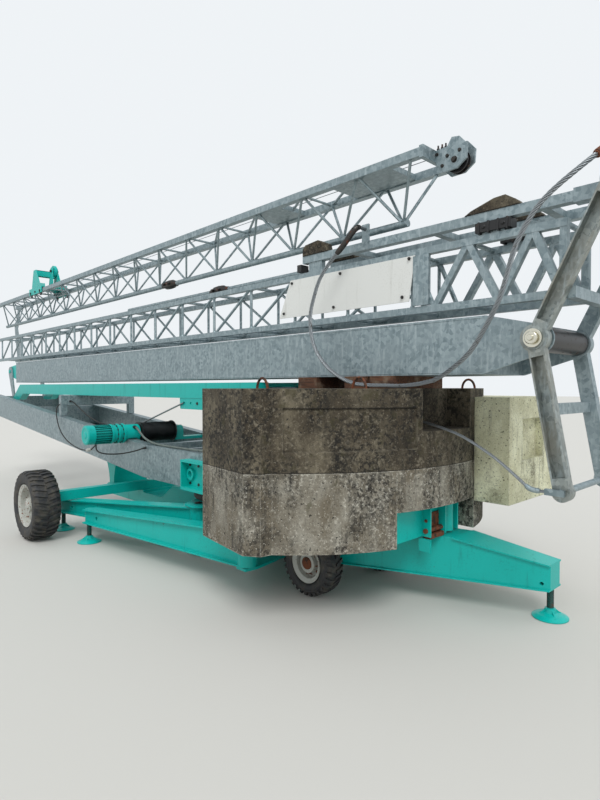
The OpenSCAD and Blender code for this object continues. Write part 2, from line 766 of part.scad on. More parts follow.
module winch_motor() {
    top = beam_low(winch_x) + beam_h;
    color(turquoise) {
        shaft(winch_x, winch_z, motor_d / 2, -975, -900);
        shaft(winch_x, winch_z, motor_d / 2 - 12, -900, -730);
        for (a = [0 : 15 : 345])
            translate([winch_x, -901, winch_z]) rotate([0, a, 0]) translate([motor_d / 2 - 16, 0,
                -3]) cube([16, 172, 6]);
        shaft(winch_x, winch_z, motor_d / 2 + 4, -730, -705);
        difference() {
            union() {
                shaft(winch_x, winch_z, gear_r, -706, drum_y0 - side_gap - 6);
                for (y = [-660, -600])
                    shaft(winch_x, winch_z, motor_d / 2 + 6, y, y + 24);
            }
            shaft(winch_x, winch_z, drum_shaft_r + run_fit, drum_y0 - 80, 0);
        }
        // far bearing of the drum, on a bar from the far beam
        difference() {
            union() {
                shaft(winch_x, winch_z, 60, bearing_y, bearing_y + 110);
                brick([winch_x - 60, bearing_y, top - 46], [winch_x + 60, bearing_y + 110, winch_z]);
                brick([winch_x - 60, bearing_y, top - 46], [winch_x + 60, plat_y - beam_w - gap, top - 14]);
            }
            shaft(winch_x, winch_z, drum_shaft_r + run_fit, 0, 600);
        }
    }
}
module winch_drum() {
    color(black) {
        shaft(winch_x, winch_z, drum_d / 2, drum_y0, drum_y0 + drum_l);
        shaft(winch_x, winch_z, drum_flange_d / 2, drum_y0, drum_y0 + 12);
        shaft(winch_x, winch_z, drum_flange_d / 2, drum_y0 + drum_l - 12, drum_y0 + drum_l);
        shaft(winch_x, winch_z, drum_shaft_r, drum_y0 - 70, bearing_y + 110);
    }
}

// Chassis
chassis_top = chassis_z + chassis_h;
axle_s = 100;
axle_low = tyre_d / 2 + side_gap;
// Side of the beam, which drops to a lower tail over the rear axle
beam_side = [[chassis_x0, tail_z], [tail_x1, tail_z], [tail_x1 + 300, chassis_z], [chassis_x1, chassis_z],
    [chassis_x1, chassis_top], [tail_x1 + 240, chassis_top], [tail_x1, tail_top], [chassis_x0, tail_top]];
// Root and tip of each arm
root_nr = [front_x - 375, -720];
tip_nr = [845, -1030];
root_nl = [2005, -520];
tip_nl = [175, -1030];
module ear(points, x, z) {
    translate([x, -chassis_y + 1, z]) linear_extrude(20) polygon(points);
}
module chassis_frame() {
    color(turquoise) {
        difference() {
            union() {
                plate(beam_side, -chassis_y, 2 * chassis_y);
                // rear axle with its knuckles
                brick([rear_x - axle_s / 2, -rear_y + tyre_w / 2 + 20, axle_low],
                    [rear_x + axle_s / 2, rear_y - tyre_w / 2 - 20, axle_low + axle_s]);
                // seat of the axle on the tail
                brick([rear_x - axle_s, -chassis_y, tail_top - 1],
                    [rear_x + axle_s, chassis_y, axle_low + 1]);
                both_sides() brick([rear_x - 60, -rear_y + tyre_w / 2 + 12, tyre_d / 2 - 60],
                    [rear_x + 60, -rear_y + tyre_w / 2 + 32, tyre_d / 2 + 90]);
                both_sides() shaft(rear_x, tyre_d / 2, stub_r, -rear_y - tyre_w / 2 + 60,
                    -rear_y + tyre_w / 2 + 20);
                // front axle
                both_sides() brick([front_x - 50, -front_y + front_w / 2 + 12, front_d / 2 - 50],
                    [front_x + 50, -chassis_y + 10, front_d / 2 + 80]);
                both_sides() shaft(front_x, front_d / 2, stub_r, -front_y - front_w / 2 + 40,
                    -front_y + front_w / 2 + 20);
                both_sides() for (z = [arm_z - side_gap - 20, arm_z + arm_h + side_gap])
                    ear([[-565, 0], [-25, 0], [65, -441], [55, -541], [-55, -541], [-85, -451]], root_nr[0],
                        z);
                both_sides() brick([root_nr[0] - 545, -chassis_y - 60, arm_z - side_gap - 10],
                    [root_nr[0] - 65, -chassis_y + 1, arm_z + arm_h + side_gap + 1]);
                both_sides() for (z = [arm_z - side_gap - 20, arm_z + arm_h + side_gap])
                    ear([[-305, 0], [295, 0], [75, -381], [-65, -381]], root_nl[0], z);
                both_sides() brick([root_nl[0] - 245, -chassis_y - 40, arm_z - side_gap - 10],
                    [root_nl[0] + 255, -chassis_y + 1, arm_z + arm_h + side_gap + 1]);
            }
            for (r = [root_nr, root_nl], side = [1, -1])
                translate([r[0], side * r[1], 0]) cylinder(r = arm_pin_r + run_fit, h = 1000, $fn = 48);
        }
        // lifting eye at the end of the tail
        difference() {
            shaft(chassis_x0 - 5, tail_z + 65, 55, -chassis_y + 5, -chassis_y + 25);
            shaft(chassis_x0 - 30, tail_z + 65, 18, -chassis_y, -chassis_y + 30);
        }
    }
}
post_y = 224;
// Post that carries the folded mast on the road, wider towards its top
function post_outline(in, up) = concat([[-448 + in, tail_top], [-334 - in, tail_top]],
    [for (t = [0.25 : 0.25 : 1]) [-334 - in + 138 * t * t,
        tail_top + (beam_low(-196) - up - tail_top) * t]],
    [for (t = [1 : -0.25 : 0.25]) [-448 + in - 204 * t * t,
        tail_top + (beam_low(-652) - up - tail_top) * t]]);
module transport_post() {
    color(turquoise) difference() {
        plate(post_outline(0, 12), -post_y, 2 * post_y);
        plate(post_outline(14, 26), -post_y + 14, 2 * post_y - 28);
    }
}
// Tapered arm from root to tip, as a box with flanges, and its jack
module outrigger(root, tip) {
    v = tip - root;
    l = norm(v);
    fl = 12;
    translate([root[0], root[1], arm_z]) rotate([0, 0, atan2(v[1], v[0])]) {
        difference() {
            union() {
                plate([[0, 0], [l, 0], [l, arm_tip_h], [0, arm_h]], -arm_w / 2 + 35, arm_w - 70);
                plate([[0, 0], [l, 0], [l, fl], [0, fl]], -arm_w / 2, arm_w);
                plate([[0, arm_h - fl], [l, arm_tip_h - fl], [l, arm_tip_h], [0, arm_h]], -arm_w / 2,
                    arm_w);
                cylinder(d = arm_w, h = arm_h, $fn = 48);
            }
            translate([l - 190, 0, arm_tip_h / 2]) rotate([90, 0, 0]) cylinder(r = 18, h = arm_w * 2,
                center = true, $fn = 32);
        }
        translate([0, 0, -side_gap - 20]) cylinder(r = arm_pin_r, h = arm_h + 2 * side_gap + 40, $fn = 48);
        translate([l, 0, 0]) cylinder(d = 76, h = arm_tip_h, $fn = 32);
        translate([l, 0, -arm_z]) jack();
    }
}
leg_x0 = 3395;
leg_x1 = 4755;
leg_tip = [4725, 450];
// Front leg, running on under the chassis beam, with its jack
module front_leg() {
    web = [[leg_x0, arm_z], [leg_x1, arm_z], [leg_x1, arm_z + 175], [4184, 485], [4007, 485],
        [3756, 362], [chassis_x1, 340], [chassis_x1, chassis_z], [leg_x0, chassis_z]];
    color(turquoise) {
        difference() {
            union() {
                intersection() {
                    solid_plan([[leg_x0, -191], [leg_x1, 375], [leg_x1, 525], [leg_x0, 226]], 0, 600);
                    plate(web, -500, 1500);
                }
                // top and bottom flanges, a little wider than the box
                intersection() {
                    solid_plan([[leg_x0, -211], [leg_x1, 355], [leg_x1, 545], [leg_x0, 238]], 0, 600);
                    union() {
                        plate([[leg_x0, arm_z], [leg_x1, arm_z], [leg_x1, arm_z + 10],
                            [leg_x0, arm_z + 10]], -500, 1500);
                        plate([[4184, 475], [leg_x1, arm_z + 165], [leg_x1, arm_z + 175], [4184, 485]],
                            -500, 1500);
                    }
                }
            }
            brick([0, -chassis_y - 40, chassis_z], [chassis_x1, chassis_y + 40, 600]);
            translate([leg_x1 - 50, 0, arm_z + 45]) rotate([-90, 0, 0]) cylinder(r = 12, h = 1000,
                $fn = 32);
        }
        for (y = hinge_y)
            brick([4030, y, 400], [carrier_x + 65, y + 12, 488]);
        brick([4030, hinge_y[0], 400], [4042, hinge_y[1] + 12, 484]);
        translate([leg_tip[0], leg_tip[1], 0]) jack();
    }
}
// Round pad with its screw, up into the arm
module jack() {
    translate([0, 0, 10]) cylinder(r = screw_r, h = arm_z + 40, $fn = 24);
    rotate_extrude($fn = 48) polygon([[0, 0], [pad_d / 2, 0], [pad_d / 2, 6], [pad_d / 2 - 30, 22],
        [40, 34], [34, 60], [0, 62]]);
}
module outrigger_near_right() {
    color(turquoise) outrigger(root_nr, tip_nr);
}
module outrigger_near_left() {
    color(turquoise) outrigger(root_nl, tip_nl);
}
module outrigger_far_right() {
    color(turquoise) mirror([0, 1, 0]) outrigger(root_nr, tip_nr);
}
module outrigger_far_left() {
    color(turquoise) mirror([0, 1, 0]) outrigger(root_nl, tip_nl);
}

// Rim with its dished disc, axis along Y, outer face towards -Y
module rim(x, y, z, d, w, side) {
    translate([x, y, z]) rotate([90 * side, 0, 0]) {
        difference() {
            rotate_extrude($fn = 72) polygon([[stub_r + run_fit, -w * 0.18], [stub_r + run_fit, w * 0.34],
                [70, w * 0.34], [76, w * 0.1],
                [d * 0.36, w * 0.02], [d / 2 - 26, w * 0.12], [d / 2 - 20, w / 2 - 30],
                    [d / 2 + 12, w / 2 - 16],
                [d / 2 + 12, w / 2 - 24], [d / 2, w / 2 - 34], [d / 2, w / 2 - 62],
                    [d / 2 - 12, w / 2 - 70],
                [d / 2 - 12, 70 - w / 2], [d / 2, 62 - w / 2], [d / 2, -w / 2 + 34],
                    [d / 2 + 12, -w / 2 + 24], [d / 2 + 12, -w / 2 + 16],
                [d / 2 - 20, -w / 2 + 30], [d / 2 - 26, -w * 0.02], [d * 0.36, -w * 0.1], [76, -w * 0.06],
                    [60, -w * 0.18]]);
        }
    }
}
module tyre(x, y, z, d, w, rd) {
    r = d / 2;
    translate([x, y, z]) rotate([90, 0, 0]) rotate_extrude($fn = 96) polygon(concat(
        [[rd / 2 + 12.3, w / 2 - 36], [rd / 2 + 30, w / 2 - 8]],
        [[r - 90, w / 2], [r - 40, w / 2 - 4], [r - 14, w / 2 - 18], [r, w / 2 - 46], [r, -w / 2 + 46],
            [r - 14, -w / 2 + 18], [r - 40, -w / 2 + 4], [r - 90, -w / 2]],
        [[rd / 2 + 30, -w / 2 + 8], [rd / 2 + 12.3, -w / 2 + 36], [rd / 2 + 0.3, -w / 2 + 40],
            [rd / 2 + 0.3, w / 2 - 40]]));
}
module rim_rear_near() {
    color("lightgrey") rim(rear_x, -rear_y, tyre_d / 2, rim_d, tyre_w, 1);
}
module tyre_rear_near() {
    color(black) tyre(rear_x, -rear_y, tyre_d / 2, tyre_d, tyre_w, rim_d);
}
module rim_rear_far() {
    color("lightgrey") rim(rear_x, rear_y, tyre_d / 2, rim_d, tyre_w, -1);
}
module tyre_rear_far() {
    color(black) tyre(rear_x, rear_y, tyre_d / 2, tyre_d, tyre_w, rim_d);
}
module rim_front_near() {
    color("lightgrey") rim(front_x, -front_y, front_d / 2, front_rim_d, front_w, 1);
}
module tyre_front_near() {
    color(black) tyre(front_x, -front_y, front_d / 2, front_d, front_w, front_rim_d);
}
module rim_front_far() {
    color("lightgrey") rim(front_x, front_y, front_d / 2, front_rim_d, front_w, -1);
}
module tyre_front_far() {
    color(black) tyre(front_x, front_y, front_d / 2, front_d, front_w, front_rim_d);
}

// Ballast
ballast_x0 = 2985;
ballast_in = plat_y + 10;
ballast_end = plat_x1 + 10;
corner_x = 3545;
corner_y = 1215;
shoulder_x = 3655;
module solid_plan(p, z0, z1) {
    translate([0, 0, z0]) linear_extrude(z1 - z0) polygon(p);
}
// Both courses share one plan: a block with a curved end
module course(z0, z1) {
    solid_plan([[ballast_x0, -corner_y + 90], [corner_x, -corner_y], [corner_x + 95, -corner_y + 65],
        [shoulder_x, -corner_y + 145],
        [shoulder_x, corner_y - 20], [corner_x, corner_y], [ballast_x0, corner_y - 90]], z0, z1);
    intersection() {
        translate([curve_x, curve_y, z0]) cylinder(r = curve_r, h = z1 - z0, $fn = 180);
        brick([shoulder_x - 1, -corner_y + 145, z0], [5000, corner_y - 20, z1]);
    }
}
module ballast_lower_near() {
    color(concrete) difference() {
        course(keel_z, course_z);
        brick([0, -ballast_in, 0], [ballast_end, beyond, beyond]);
        brick([0, -keel_y, 0], [beyond, beyond, beyond]);
    }
}
module ballast_lower_far() {
    color(concrete) difference() {
        course(keel_z, course_z);
        brick([0, -beyond, 0], [ballast_end, ballast_in, beyond]);
        brick([0, -beyond, 0], [beyond, keel_y, beyond]);
    }
}
// Closing block of the lower course, behind the platform beams
module ballast_lower_end() {
    color(concrete) intersection() {
        course(raised_z, course_z);
        brick([ballast_end, -keel_y, 0], [beyond, keel_y, beyond]);
    }
}
panel_deep = 12;
module ballast_upper() {
    color(moss) difference() {
        course(course_z, ballast_z);
        brick([4000, -224, notch_z], [4400, 340, ballast_z + 1]);
        // framed panel on the curved face
        intersection() {
            translate([curve_x, curve_y, 1132]) difference() {
                cylinder(r = curve_r + 100, h = 266, $fn = 180);
                translate([0, 0, -1]) cylinder(r = curve_r - panel_deep, h = 268, $fn = 180);
            }
            solid_plan([[curve_x, curve_y], [curve_x + 1200, curve_y - 1310],
                [curve_x + 1900, curve_y - 490]], 1132, 1398);
        }
    }
}
module ballast_far() {
    color(pale) difference() {
        solid_plan([[3700, 800], [4000, 430], [4443, 430], [4443, 1210], [3700, 1210]], raised_z - 30,
            1457);
        brick([4380, 640, 1000], [4500, 1000, 1300]);
        translate([curve_x, curve_y, 0]) cylinder(r = curve_r + gap, h = 2000, $fn = 180);
    }
}
// Carrier between the keels, at the ends of the platform beams
carrier_x = 4060;
carrier_z = keel_z + 5;
hinge_y = [-57, 131];
module ballast_carrier() {
    color(turquoise) {
        brick([plat_x1 + gap, -plat_y, plat_z + beam_t], [ballast_end - gap, plat_y, plat_z + beam_h]);
        brick([ballast_end - 1, -keel_y + 6, carrier_z], [carrier_x, keel_y - 6, raised_z - gap]);
        for (y = hinge_y)
            brick([carrier_x - 1, y, carrier_z], [carrier_x + 65, y + 12, raised_z - gap]);
        translate([carrier_x + 20, 222, carrier_z]) cylinder(r = 45, h = raised_z - gap - carrier_z,
            $fn = 48);
        brick([carrier_x - 1, 300, carrier_z], [carrier_x + 60, 312, raised_z - gap]);
    }
}
timber_y = 300;
timber_w = 200;
module timber_packing() {
    color("saddlebrown") {
        for (x = [3080, 3560, 3790])
            brick([x, -timber_y, ballast_z], [x + timber_w, timber_y, girder_z - gap]);
    }
}

// Cord swept along points, as one closed tube
function unit(v) = v / norm(v);
function tangent(p, i) = unit(p[min(i + 1, len(p) - 1)] - p[max(i - 1, 0)]);
function side_of(t) = unit(cross(t, abs(t[1]) > 0.9 ? [1, 0, 0] : [0, 1, 0]));
function curve(a, b, c, d, t) = 0.5 * (2 * b + (c - a) * t + (2 * a - 5 * b + 4 * c - d) * t * t
    + (3 * b - a - 3 * c + d) * t * t * t);
function smooth(p, n) = [for (i = [0 : len(p) - 2]) for (j = [0 : n - 1])
    curve(p[max(i - 1, 0)], p[i], p[i + 1], p[min(i + 2, len(p) - 1)], j / n)];
module cord(p, d, n = 8) {
    rings = [for (i = [0 : len(p) - 1]) let (t = tangent(p, i), u = side_of(t), v = cross(t, u))
        [for (k = [0 : n - 1]) p[i] + d / 2 * (u * cos(360 * k / n) + v * sin(360 * k / n))]];
    pts = [for (r = rings) for (q = r) q];
    m = len(p);
    polyhedron(pts, concat(
        [for (i = [0 : m - 2]) for (k = [0 : n - 1]) [i * n + k, (i + 1) * n + k, (i + 1) * n + (k + 1) % n,
            i * n + (k + 1) % n]],
        [[for (k = [0 : n - 1]) k]], [[for (k = [n - 1 : -1 : 0]) (m - 1) * n + k]]));
}
rope_pts = [[5240, -200.3, 2720], [5240, -230, 2720], [5240, -260, 2715], [5215, -320, 2670],
    [5140, -370, 2600], [5040, -400, 2520],
    [4960, -420, 2430], [4880, -440, 2280], [4840, -450, 2140], [4800, -460, 2000], [4730, -460, 1870],
    [4630, -450, 1730], [4500, -420, 1640], [4340, -370, 1570], [4120, -330, 1540], [3960, -340, 1540],
    [3750, -390, 1550], [3600, -420, 1610], [3470, -430, 1710], [3360, -420, 1850], [3310, -400, 2040],
    [3330, -380, 2190], [3370, -360, 2320], [3440, -330, 2430], [3550, -305, 2540],
    [3625, -275, 2640], [3640, -240, 2665], [3640, -205, 2665], [3640, -170.3, 2665]];
pendant_pts = [[4000.3, -150, 1310], [4040, -150, 1310], [4080, -150, 1310], [4180, -185, 1295],
    [4330, -250, 1275], [4500, -300, 1235],
    [4710, -340, 1140], [4850, -362, 1050], [4910, -366, 1005], [4940, -366, 988], [4975, -366, 985],
        [5010, -366, 985]];
module wire_rope() {
    color("grey") cord(concat(smooth(rope_pts, 2), [rope_pts[len(rope_pts) - 1]]), 28);
}
module pendant_rope() {
    color("grey") cord(concat(smooth(pendant_pts, 3), [pendant_pts[len(pendant_pts) - 1]]), 18);
}

chassis_frame();
transport_post();
slewing_ring();
slewing_ring_top();
outrigger_near_right();
outrigger_near_left();
outrigger_far_right();
outrigger_far_left();
front_leg();
rim_rear_near();
tyre_rear_near();
rim_rear_far();
tyre_rear_far();
rim_front_near();
tyre_front_near();
rim_front_far();
tyre_front_far();
knee_beam_near();
knee_beam_far();
platform_cross();
ring_bracket();
winch_motor();
winch_drum();
strut_near();
strut_far();
strut_frames();
mast_lugs();
ballast_lower_near();
ballast_lower_far();
ballast_lower_end();
ballast_upper();
ballast_far();
ballast_carrier();
timber_packing();
mast_girder();
mast_foot();
head_roller();
spreader_near();
spreader_far();
spreader_cross();
jib_side_near();
jib_side_far();
jib_bracing();
fold_hinge();
jib_rails();
stay_bar();
sign_board();
rail_blocks();
tip_side_near();
tip_side_far();
tip_chord();
tip_plan();
fold_plates();
tip_head();
tip_pulley();
trolley_frame();
wire_rope();
pendant_rope();
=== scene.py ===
import json
import math

import bpy
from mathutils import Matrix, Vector


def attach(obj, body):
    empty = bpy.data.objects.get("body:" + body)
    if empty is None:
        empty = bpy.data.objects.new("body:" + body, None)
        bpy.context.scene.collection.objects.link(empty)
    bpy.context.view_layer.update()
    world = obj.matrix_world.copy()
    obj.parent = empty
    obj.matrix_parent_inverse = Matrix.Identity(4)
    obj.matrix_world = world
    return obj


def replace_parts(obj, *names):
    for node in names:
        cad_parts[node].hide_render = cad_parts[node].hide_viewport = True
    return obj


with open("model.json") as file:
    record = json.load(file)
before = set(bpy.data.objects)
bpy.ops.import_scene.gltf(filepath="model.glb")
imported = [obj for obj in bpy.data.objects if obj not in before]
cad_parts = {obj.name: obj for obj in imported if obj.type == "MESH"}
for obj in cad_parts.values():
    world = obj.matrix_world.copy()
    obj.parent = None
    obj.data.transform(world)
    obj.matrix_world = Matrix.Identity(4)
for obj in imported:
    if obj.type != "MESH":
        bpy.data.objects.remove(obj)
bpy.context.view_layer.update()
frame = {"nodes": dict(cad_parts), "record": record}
nodes = frame["nodes"]
print("frame: the packed parts are in")

# metres, and millimetres for patterns; what a user would change is in a dictionary beside its piece


# camera first, at the photograph's own place and angle
view = {"place": (6.175, -3.25, 1.53), "azimuth": 46.2, "pitch": -1.36, "lens": 24.6}
camera = bpy.data.objects.new("camera", bpy.data.cameras.new("camera"))
bpy.context.scene.collection.objects.link(camera)
camera.location = view["place"]
camera.rotation_euler = (math.radians(90 + view["pitch"]), 0, math.radians(view["azimuth"]))
camera.data.lens = view["lens"]
camera.data.sensor_width = 36
bpy.context.scene.camera = camera


# small shapes, gathered into one mesh for each piece
class Shape:
    def __init__(self):
        self.points = []
        self.faces = []

    def take(self, points, faces):
        start = len(self.points)
        self.points += [tuple(p) for p in points]
        self.faces += [[start + i for i in f] for f in faces]

    # outline of (s, t) pairs laid on u and v from base, and pulled out along w
    def prism(self, outline, base, u, v, w):
        base, u, v, w = Vector(base), Vector(u), Vector(v), Vector(w)
        n = len(outline)
        ring = [base + u * s + v * t for s, t in outline]
        sides = [[i, (i + 1) % n, n + (i + 1) % n, n + i] for i in range(n)]
        self.take(ring + [p + w for p in ring], sides + [list(range(n))[::-1], list(range(n, 2 * n))])

    def box(self, low, high):
        x, y, z = (h - l for h, l in zip(high, low))
        self.prism([(0, 0), (x, 0), (x, y), (0, y)], low, (1, 0, 0), (0, 1, 0), (0, 0, z))

    def rod(self, a, b, radius, sides=12, end=None):
        a, b = Vector(a), Vector(b)
        u, v = across(b - a)
        end = radius if end is None else end
        turn = [2 * math.pi * k / sides for k in range(sides)]
        low = [a + (u * math.cos(t) + v * math.sin(t)) * radius for t in turn]
        top = [b + (u * math.cos(t) + v * math.sin(t)) * end for t in turn]
        wall = [[k, (k + 1) % sides, sides + (k + 1) % sides, sides + k] for k in range(sides)]
        self.take(low + top, wall + [list(range(sides))[::-1], list(range(sides, 2 * sides))])

    # hexagon head on a washer, standing out along way
    def bolt(self, at, way, size):
        at, way = Vector(at), Vector(way).normalized()
        self.rod(at - way * size * 0.1, at + way * size * 0.16, size * 1.05, 16)
        self.rod(at, at + way * size * 0.75, size * 0.88, 6, size * 0.82)

    def tube(self, path, radius, sides=8):
        rings, u = [], None
        for i, p in enumerate(path):
            way = Vector(path[min(i + 1, len(path) - 1)]) - Vector(path[max(i - 1, 0)])
            way.normalize()
            u = across(way)[0] if u is None else (u - way * u.dot(way)).normalized()
            v = way.cross(u)
            rings += [
                Vector(p) + (u * math.cos(t) + v * math.sin(t)) * radius
                for t in (2 * math.pi * k / sides for k in range(sides))
            ]
        m = len(path)
        wall = [
            [i * sides + k, i * sides + (k + 1) % sides, (i + 1) * sides + (k + 1) % sides, (i + 1) * sides + k]
            for i in range(m - 1)
            for k in range(sides)
        ]
        self.take(rings, wall + [list(range(sides))[::-1], [(m - 1) * sides + k for k in range(sides)]])

    # profile of (radius, along) turned about an axis through centre
    def lathe(self, profile, centre, axis, sides=48, closed=False):
        centre, axis = Vector(centre), Vector(axis).normalized()
        u, v = across(axis)
        rings = [
            centre + axis * h + (u * math.cos(t) + v * math.sin(t)) * r
            for t in (2 * math.pi * k / sides for k in range(sides))
            for r, h in profile
        ]
        n = len(profile)
        last = n if closed else n - 1
        faces = [
            [k * n + i, k * n + (i + 1) % n, ((k + 1) % sides) * n + (i + 1) % n, ((k + 1) % sides) * n + i]
            for k in range(sides)
            for i in range(last)
        ]
        self.take(rings, faces)


def across(way):
    way = Vector(way).normalized()
    u = way.cross(Vector((0, 0, 1)) if abs(way.z) < 0.9 else Vector((1, 0, 0))).normalized()
    return u, way.cross(u)


def place(shape, name, look, body, bevel=0.0, angle=32):
    mesh = bpy.data.meshes.new(name)
    mesh.from_pydata([tuple(p) for p in shape.points], [], shape.faces)
    mesh.validate()
    mesh.polygons.foreach_set("use_smooth", [True] * len(mesh.polygons))
    mesh.set_sharp_from_angle(angle=math.radians(angle))
    piece = bpy.data.objects.new(name, mesh)
    bpy.context.scene.collection.objects.link(piece)
    mesh.materials.append(looks[look])
    if bevel:
        edge = piece.modifiers.new("edge", "BEVEL")
        edge.width, edge.segments, edge.limit_method = bevel, 2, "ANGLE"
    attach(piece, body)
    return piece


# the same smooth line through points as the part's own ropes
def smooth(points, n):
    p = [Vector(q) for q in points]
    out = []
    for i in range(len(p) - 1):
        a, b, c, d = p[max(i - 1, 0)], p[i], p[i + 1], p[min(i + 2, len(p) - 1)]
        for j in range(n):
            t = j / n
            bend = (2 * a - 5 * b + 4 * c - d) * t * t + (3 * b - a - 3 * c + d) * t**3
            out.append(0.5 * (2 * b + (c - a) * t + bend))
    return out + [p[-1]]


def measure(path):
    return sum((Vector(b) - Vector(a)).length for a, b in zip(path, path[1:]))


# a path with a point every step metres
def evenly(path, step):
    total = measure(path)
    count = max(2, round(total / step))
    out, i, gone = [], 0, 0.0
    for k in range(count + 1):
        want = total * k / count
        while i < len(path) - 2 and gone + (Vector(path[i + 1]) - Vector(path[i])).length < want:
            gone += (Vector(path[i + 1]) - Vector(path[i])).length
            i += 1
        a, b = Vector(path[i]), Vector(path[i + 1])
        out.append(a.lerp(b, min(1, (want - gone) / max((b - a).length, 1e-9))))
    return out


# colours, patterns and materials
def linear(code):
    parts = [int(code[i : i + 2], 16) / 255 for i in (1, 3, 5)]
    return [c / 12.92 if c <= 0.04045 else ((c + 0.055) / 1.055) ** 2.4 for c in parts] + [1.0]


# adds one node: a socket among the inputs is linked, anything else is set
def add(tree, kind, inputs=None, **settings):
    node = tree.nodes.new("ShaderNode" + kind)
    for key, value in settings.items():
        setattr(node, key, value)
    for key, value in (inputs or {}).items():
        if isinstance(value, bpy.types.NodeSocket):
            tree.links.new(value, node.inputs[key])
        else:
            node.inputs[key].default_value = value
    return node


# soft-edged patches about size mm across, from 0 to 1
def patches(tree, at, size, low, high, stretch=(1, 1, 1), detail=5.0):
    spot = add(tree, "Mapping", {"Vector": at, "Scale": [1000 / (size * s) for s in stretch]})
    noise = add(tree, "TexNoise", {"Vector": spot.outputs[0], "Scale": 1.0, "Detail": detail, "Roughness": 0.6})
    ends = {"Value": noise.outputs[0], "From Min": low, "From Max": high}
    return add(tree, "MapRange", ends, interpolation_type="SMOOTHSTEP").outputs[0]


def layer(tree, mask, under, over):
    return add(tree, "Mix", {0: mask, 6: under, 7: over}, data_type="RGBA").outputs[2]


def weigh(tree, first, second, how="MULTIPLY"):
    return add(tree, "Math", {0: first, 1: second}, operation=how, use_clamp=True).outputs[0]


# a material's tree with its place socket, and the share of each face that looks up
def begin(name):
    material = bpy.data.materials.new(name)
    material.use_nodes = True
    tree = material.node_tree
    tree.nodes.clear()
    at = add(tree, "TexCoord").outputs["Object"]
    normal = add(tree, "NewGeometry").outputs["Normal"]
    up = add(tree, "SeparateXYZ", {0: normal}).outputs["Z"]
    return material, tree, at, up


# joins the looks to the shader; the bump's height is in mm and the edge is rounded by edge mm
def close(material, tree, shader, height=None, deep=0.5, edge=2.0):
    inputs = dict(shader)
    base = add(tree, "Bevel", {"Radius": edge / 1000}, samples=3).outputs[0]
    if height is not None:
        ends = {"Height": height, "Distance": deep / 1000, "Strength": 1.0, "Normal": base}
        base = add(tree, "Bump", ends).outputs[0]
    inputs["Normal"] = base
    node = add(tree, "BsdfPrincipled", inputs)
    add(tree, "OutputMaterial", {0: node.outputs[0]})
    return material


# outdoor enamel on steel: faded in patches and painted lighter on faces that look up (painted top light),
# with thin runs of dirt, chips down to rust and, when asked for, painted shade darkening its recesses
def enamel(name, colour, bleached_and_lit, grime_and_shade, rust, chipped=0.66, faded=0.28, recess_shade=0.0):
    material, tree, at, up = begin(name)
    pale = weigh(tree, patches(tree, at, 500, 0.35, 0.75), faded)
    tone = layer(tree, pale, linear(colour), linear(bleached_and_lit))
    # painted top light: faces that look up take the paler colour
    top = add(tree, "MapRange", {"Value": up, "From Min": 0.45, "From Max": 0.95, "To Max": 0.45}).outputs[0]
    tone = layer(tree, top, tone, linear(bleached_and_lit))
    runs = weigh(tree, patches(tree, at, 45, 0.56, 0.8, (1, 1, 10)), 0.5)
    tone = layer(tree, runs, tone, linear(grime_and_shade))
    dust = weigh(tree, patches(tree, at, 12, 0.5, 0.7, detail=8.0), patches(tree, at, 240, 0.4, 0.65))
    tone = layer(tree, weigh(tree, dust, 0.3), tone, linear(grime_and_shade))
    # painted shade: recesses found by ambient occlusion are darkened
    if recess_shade:
        clear = add(tree, "AmbientOcclusion", {"Distance": 0.03}, samples=8).outputs["AO"]
        ends = {"Value": clear, "From Min": 0.8, "From Max": 0.35, "To Max": recess_shade}
        tone = layer(tree, add(tree, "MapRange", ends).outputs[0], tone, linear(grime_and_shade))
    chips = patches(tree, at, 18, chipped, chipped + 0.03, detail=7.0)
    chips = weigh(tree, chips, patches(tree, at, 260, 0.48, 0.6))
    tone = layer(tree, chips, tone, linear(rust))
    rough = add(tree, "MapRange", {"Value": runs, "To Min": 0.34, "To Max": 0.6}).outputs[0]
    peel = add(tree, "TexNoise", {"Vector": at, "Scale": 420.0, "Detail": 2.0}).outputs[0]
    height = weigh(tree, peel, chips, "SUBTRACT")
    # chalky old enamel mirrors less than the 1.5 of a fresh coat
    return close(material, tree, {"Base Color": tone, "Roughness": rough, "IOR": 1.42}, height, 0.25)


# hot-dip galvanised steel: zinc flowers a thumb wide under pale oxide that ran down in streaks
def zinc(name, light, dark, oxide, cell=22):
    material, tree, at, up = begin(name)
    bent = add(tree, "TexNoise", {"Vector": at, "Scale": 60.0, "Detail": 3.0}).outputs[1]
    spot = add(tree, "Mix", {0: 0.012, 4: at, 5: bent}, data_type="VECTOR").outputs[1]
    flower = add(tree, "TexVoronoi", {"Vector": spot, "Scale": 1000 / cell}).outputs["Color"]
    grey = add(tree, "SeparateColor", {0: flower}).outputs[0]
    tone = layer(tree, grey, linear(dark), linear(light))
    dull = patches(tree, at, 260, 0.35, 0.68)
    tone = layer(tree, weigh(tree, dull, 0.6), tone, linear(oxide))
    bloom = patches(tree, at, 26, 0.5, 0.72, (1, 1, 5), 3.0)
    tone = layer(tree, weigh(tree, bloom, 0.42), tone, linear("#BCC8CB"))
    runs = patches(tree, at, 40, 0.6, 0.84, (1, 1, 12))
    tone = layer(tree, weigh(tree, runs, 0.45), tone, linear("#5B6668"))
    spots = weigh(tree, patches(tree, at, 30, 0.68, 0.72), patches(tree, at, 700, 0.52, 0.62))
    tone = layer(tree, weigh(tree, spots, 0.6), tone, linear("#6B4A32"))
    rough = add(tree, "MapRange", {"Value": grey, "To Min": 0.4, "To Max": 0.58}).outputs[0]
    metal = add(tree, "MapRange", {"Value": dull, "To Min": 0.8, "To Max": 0.5}).outputs[0]
    return close(material, tree, {"Base Color": tone, "Roughness": rough, "Metallic": metal}, grey, 0.12)
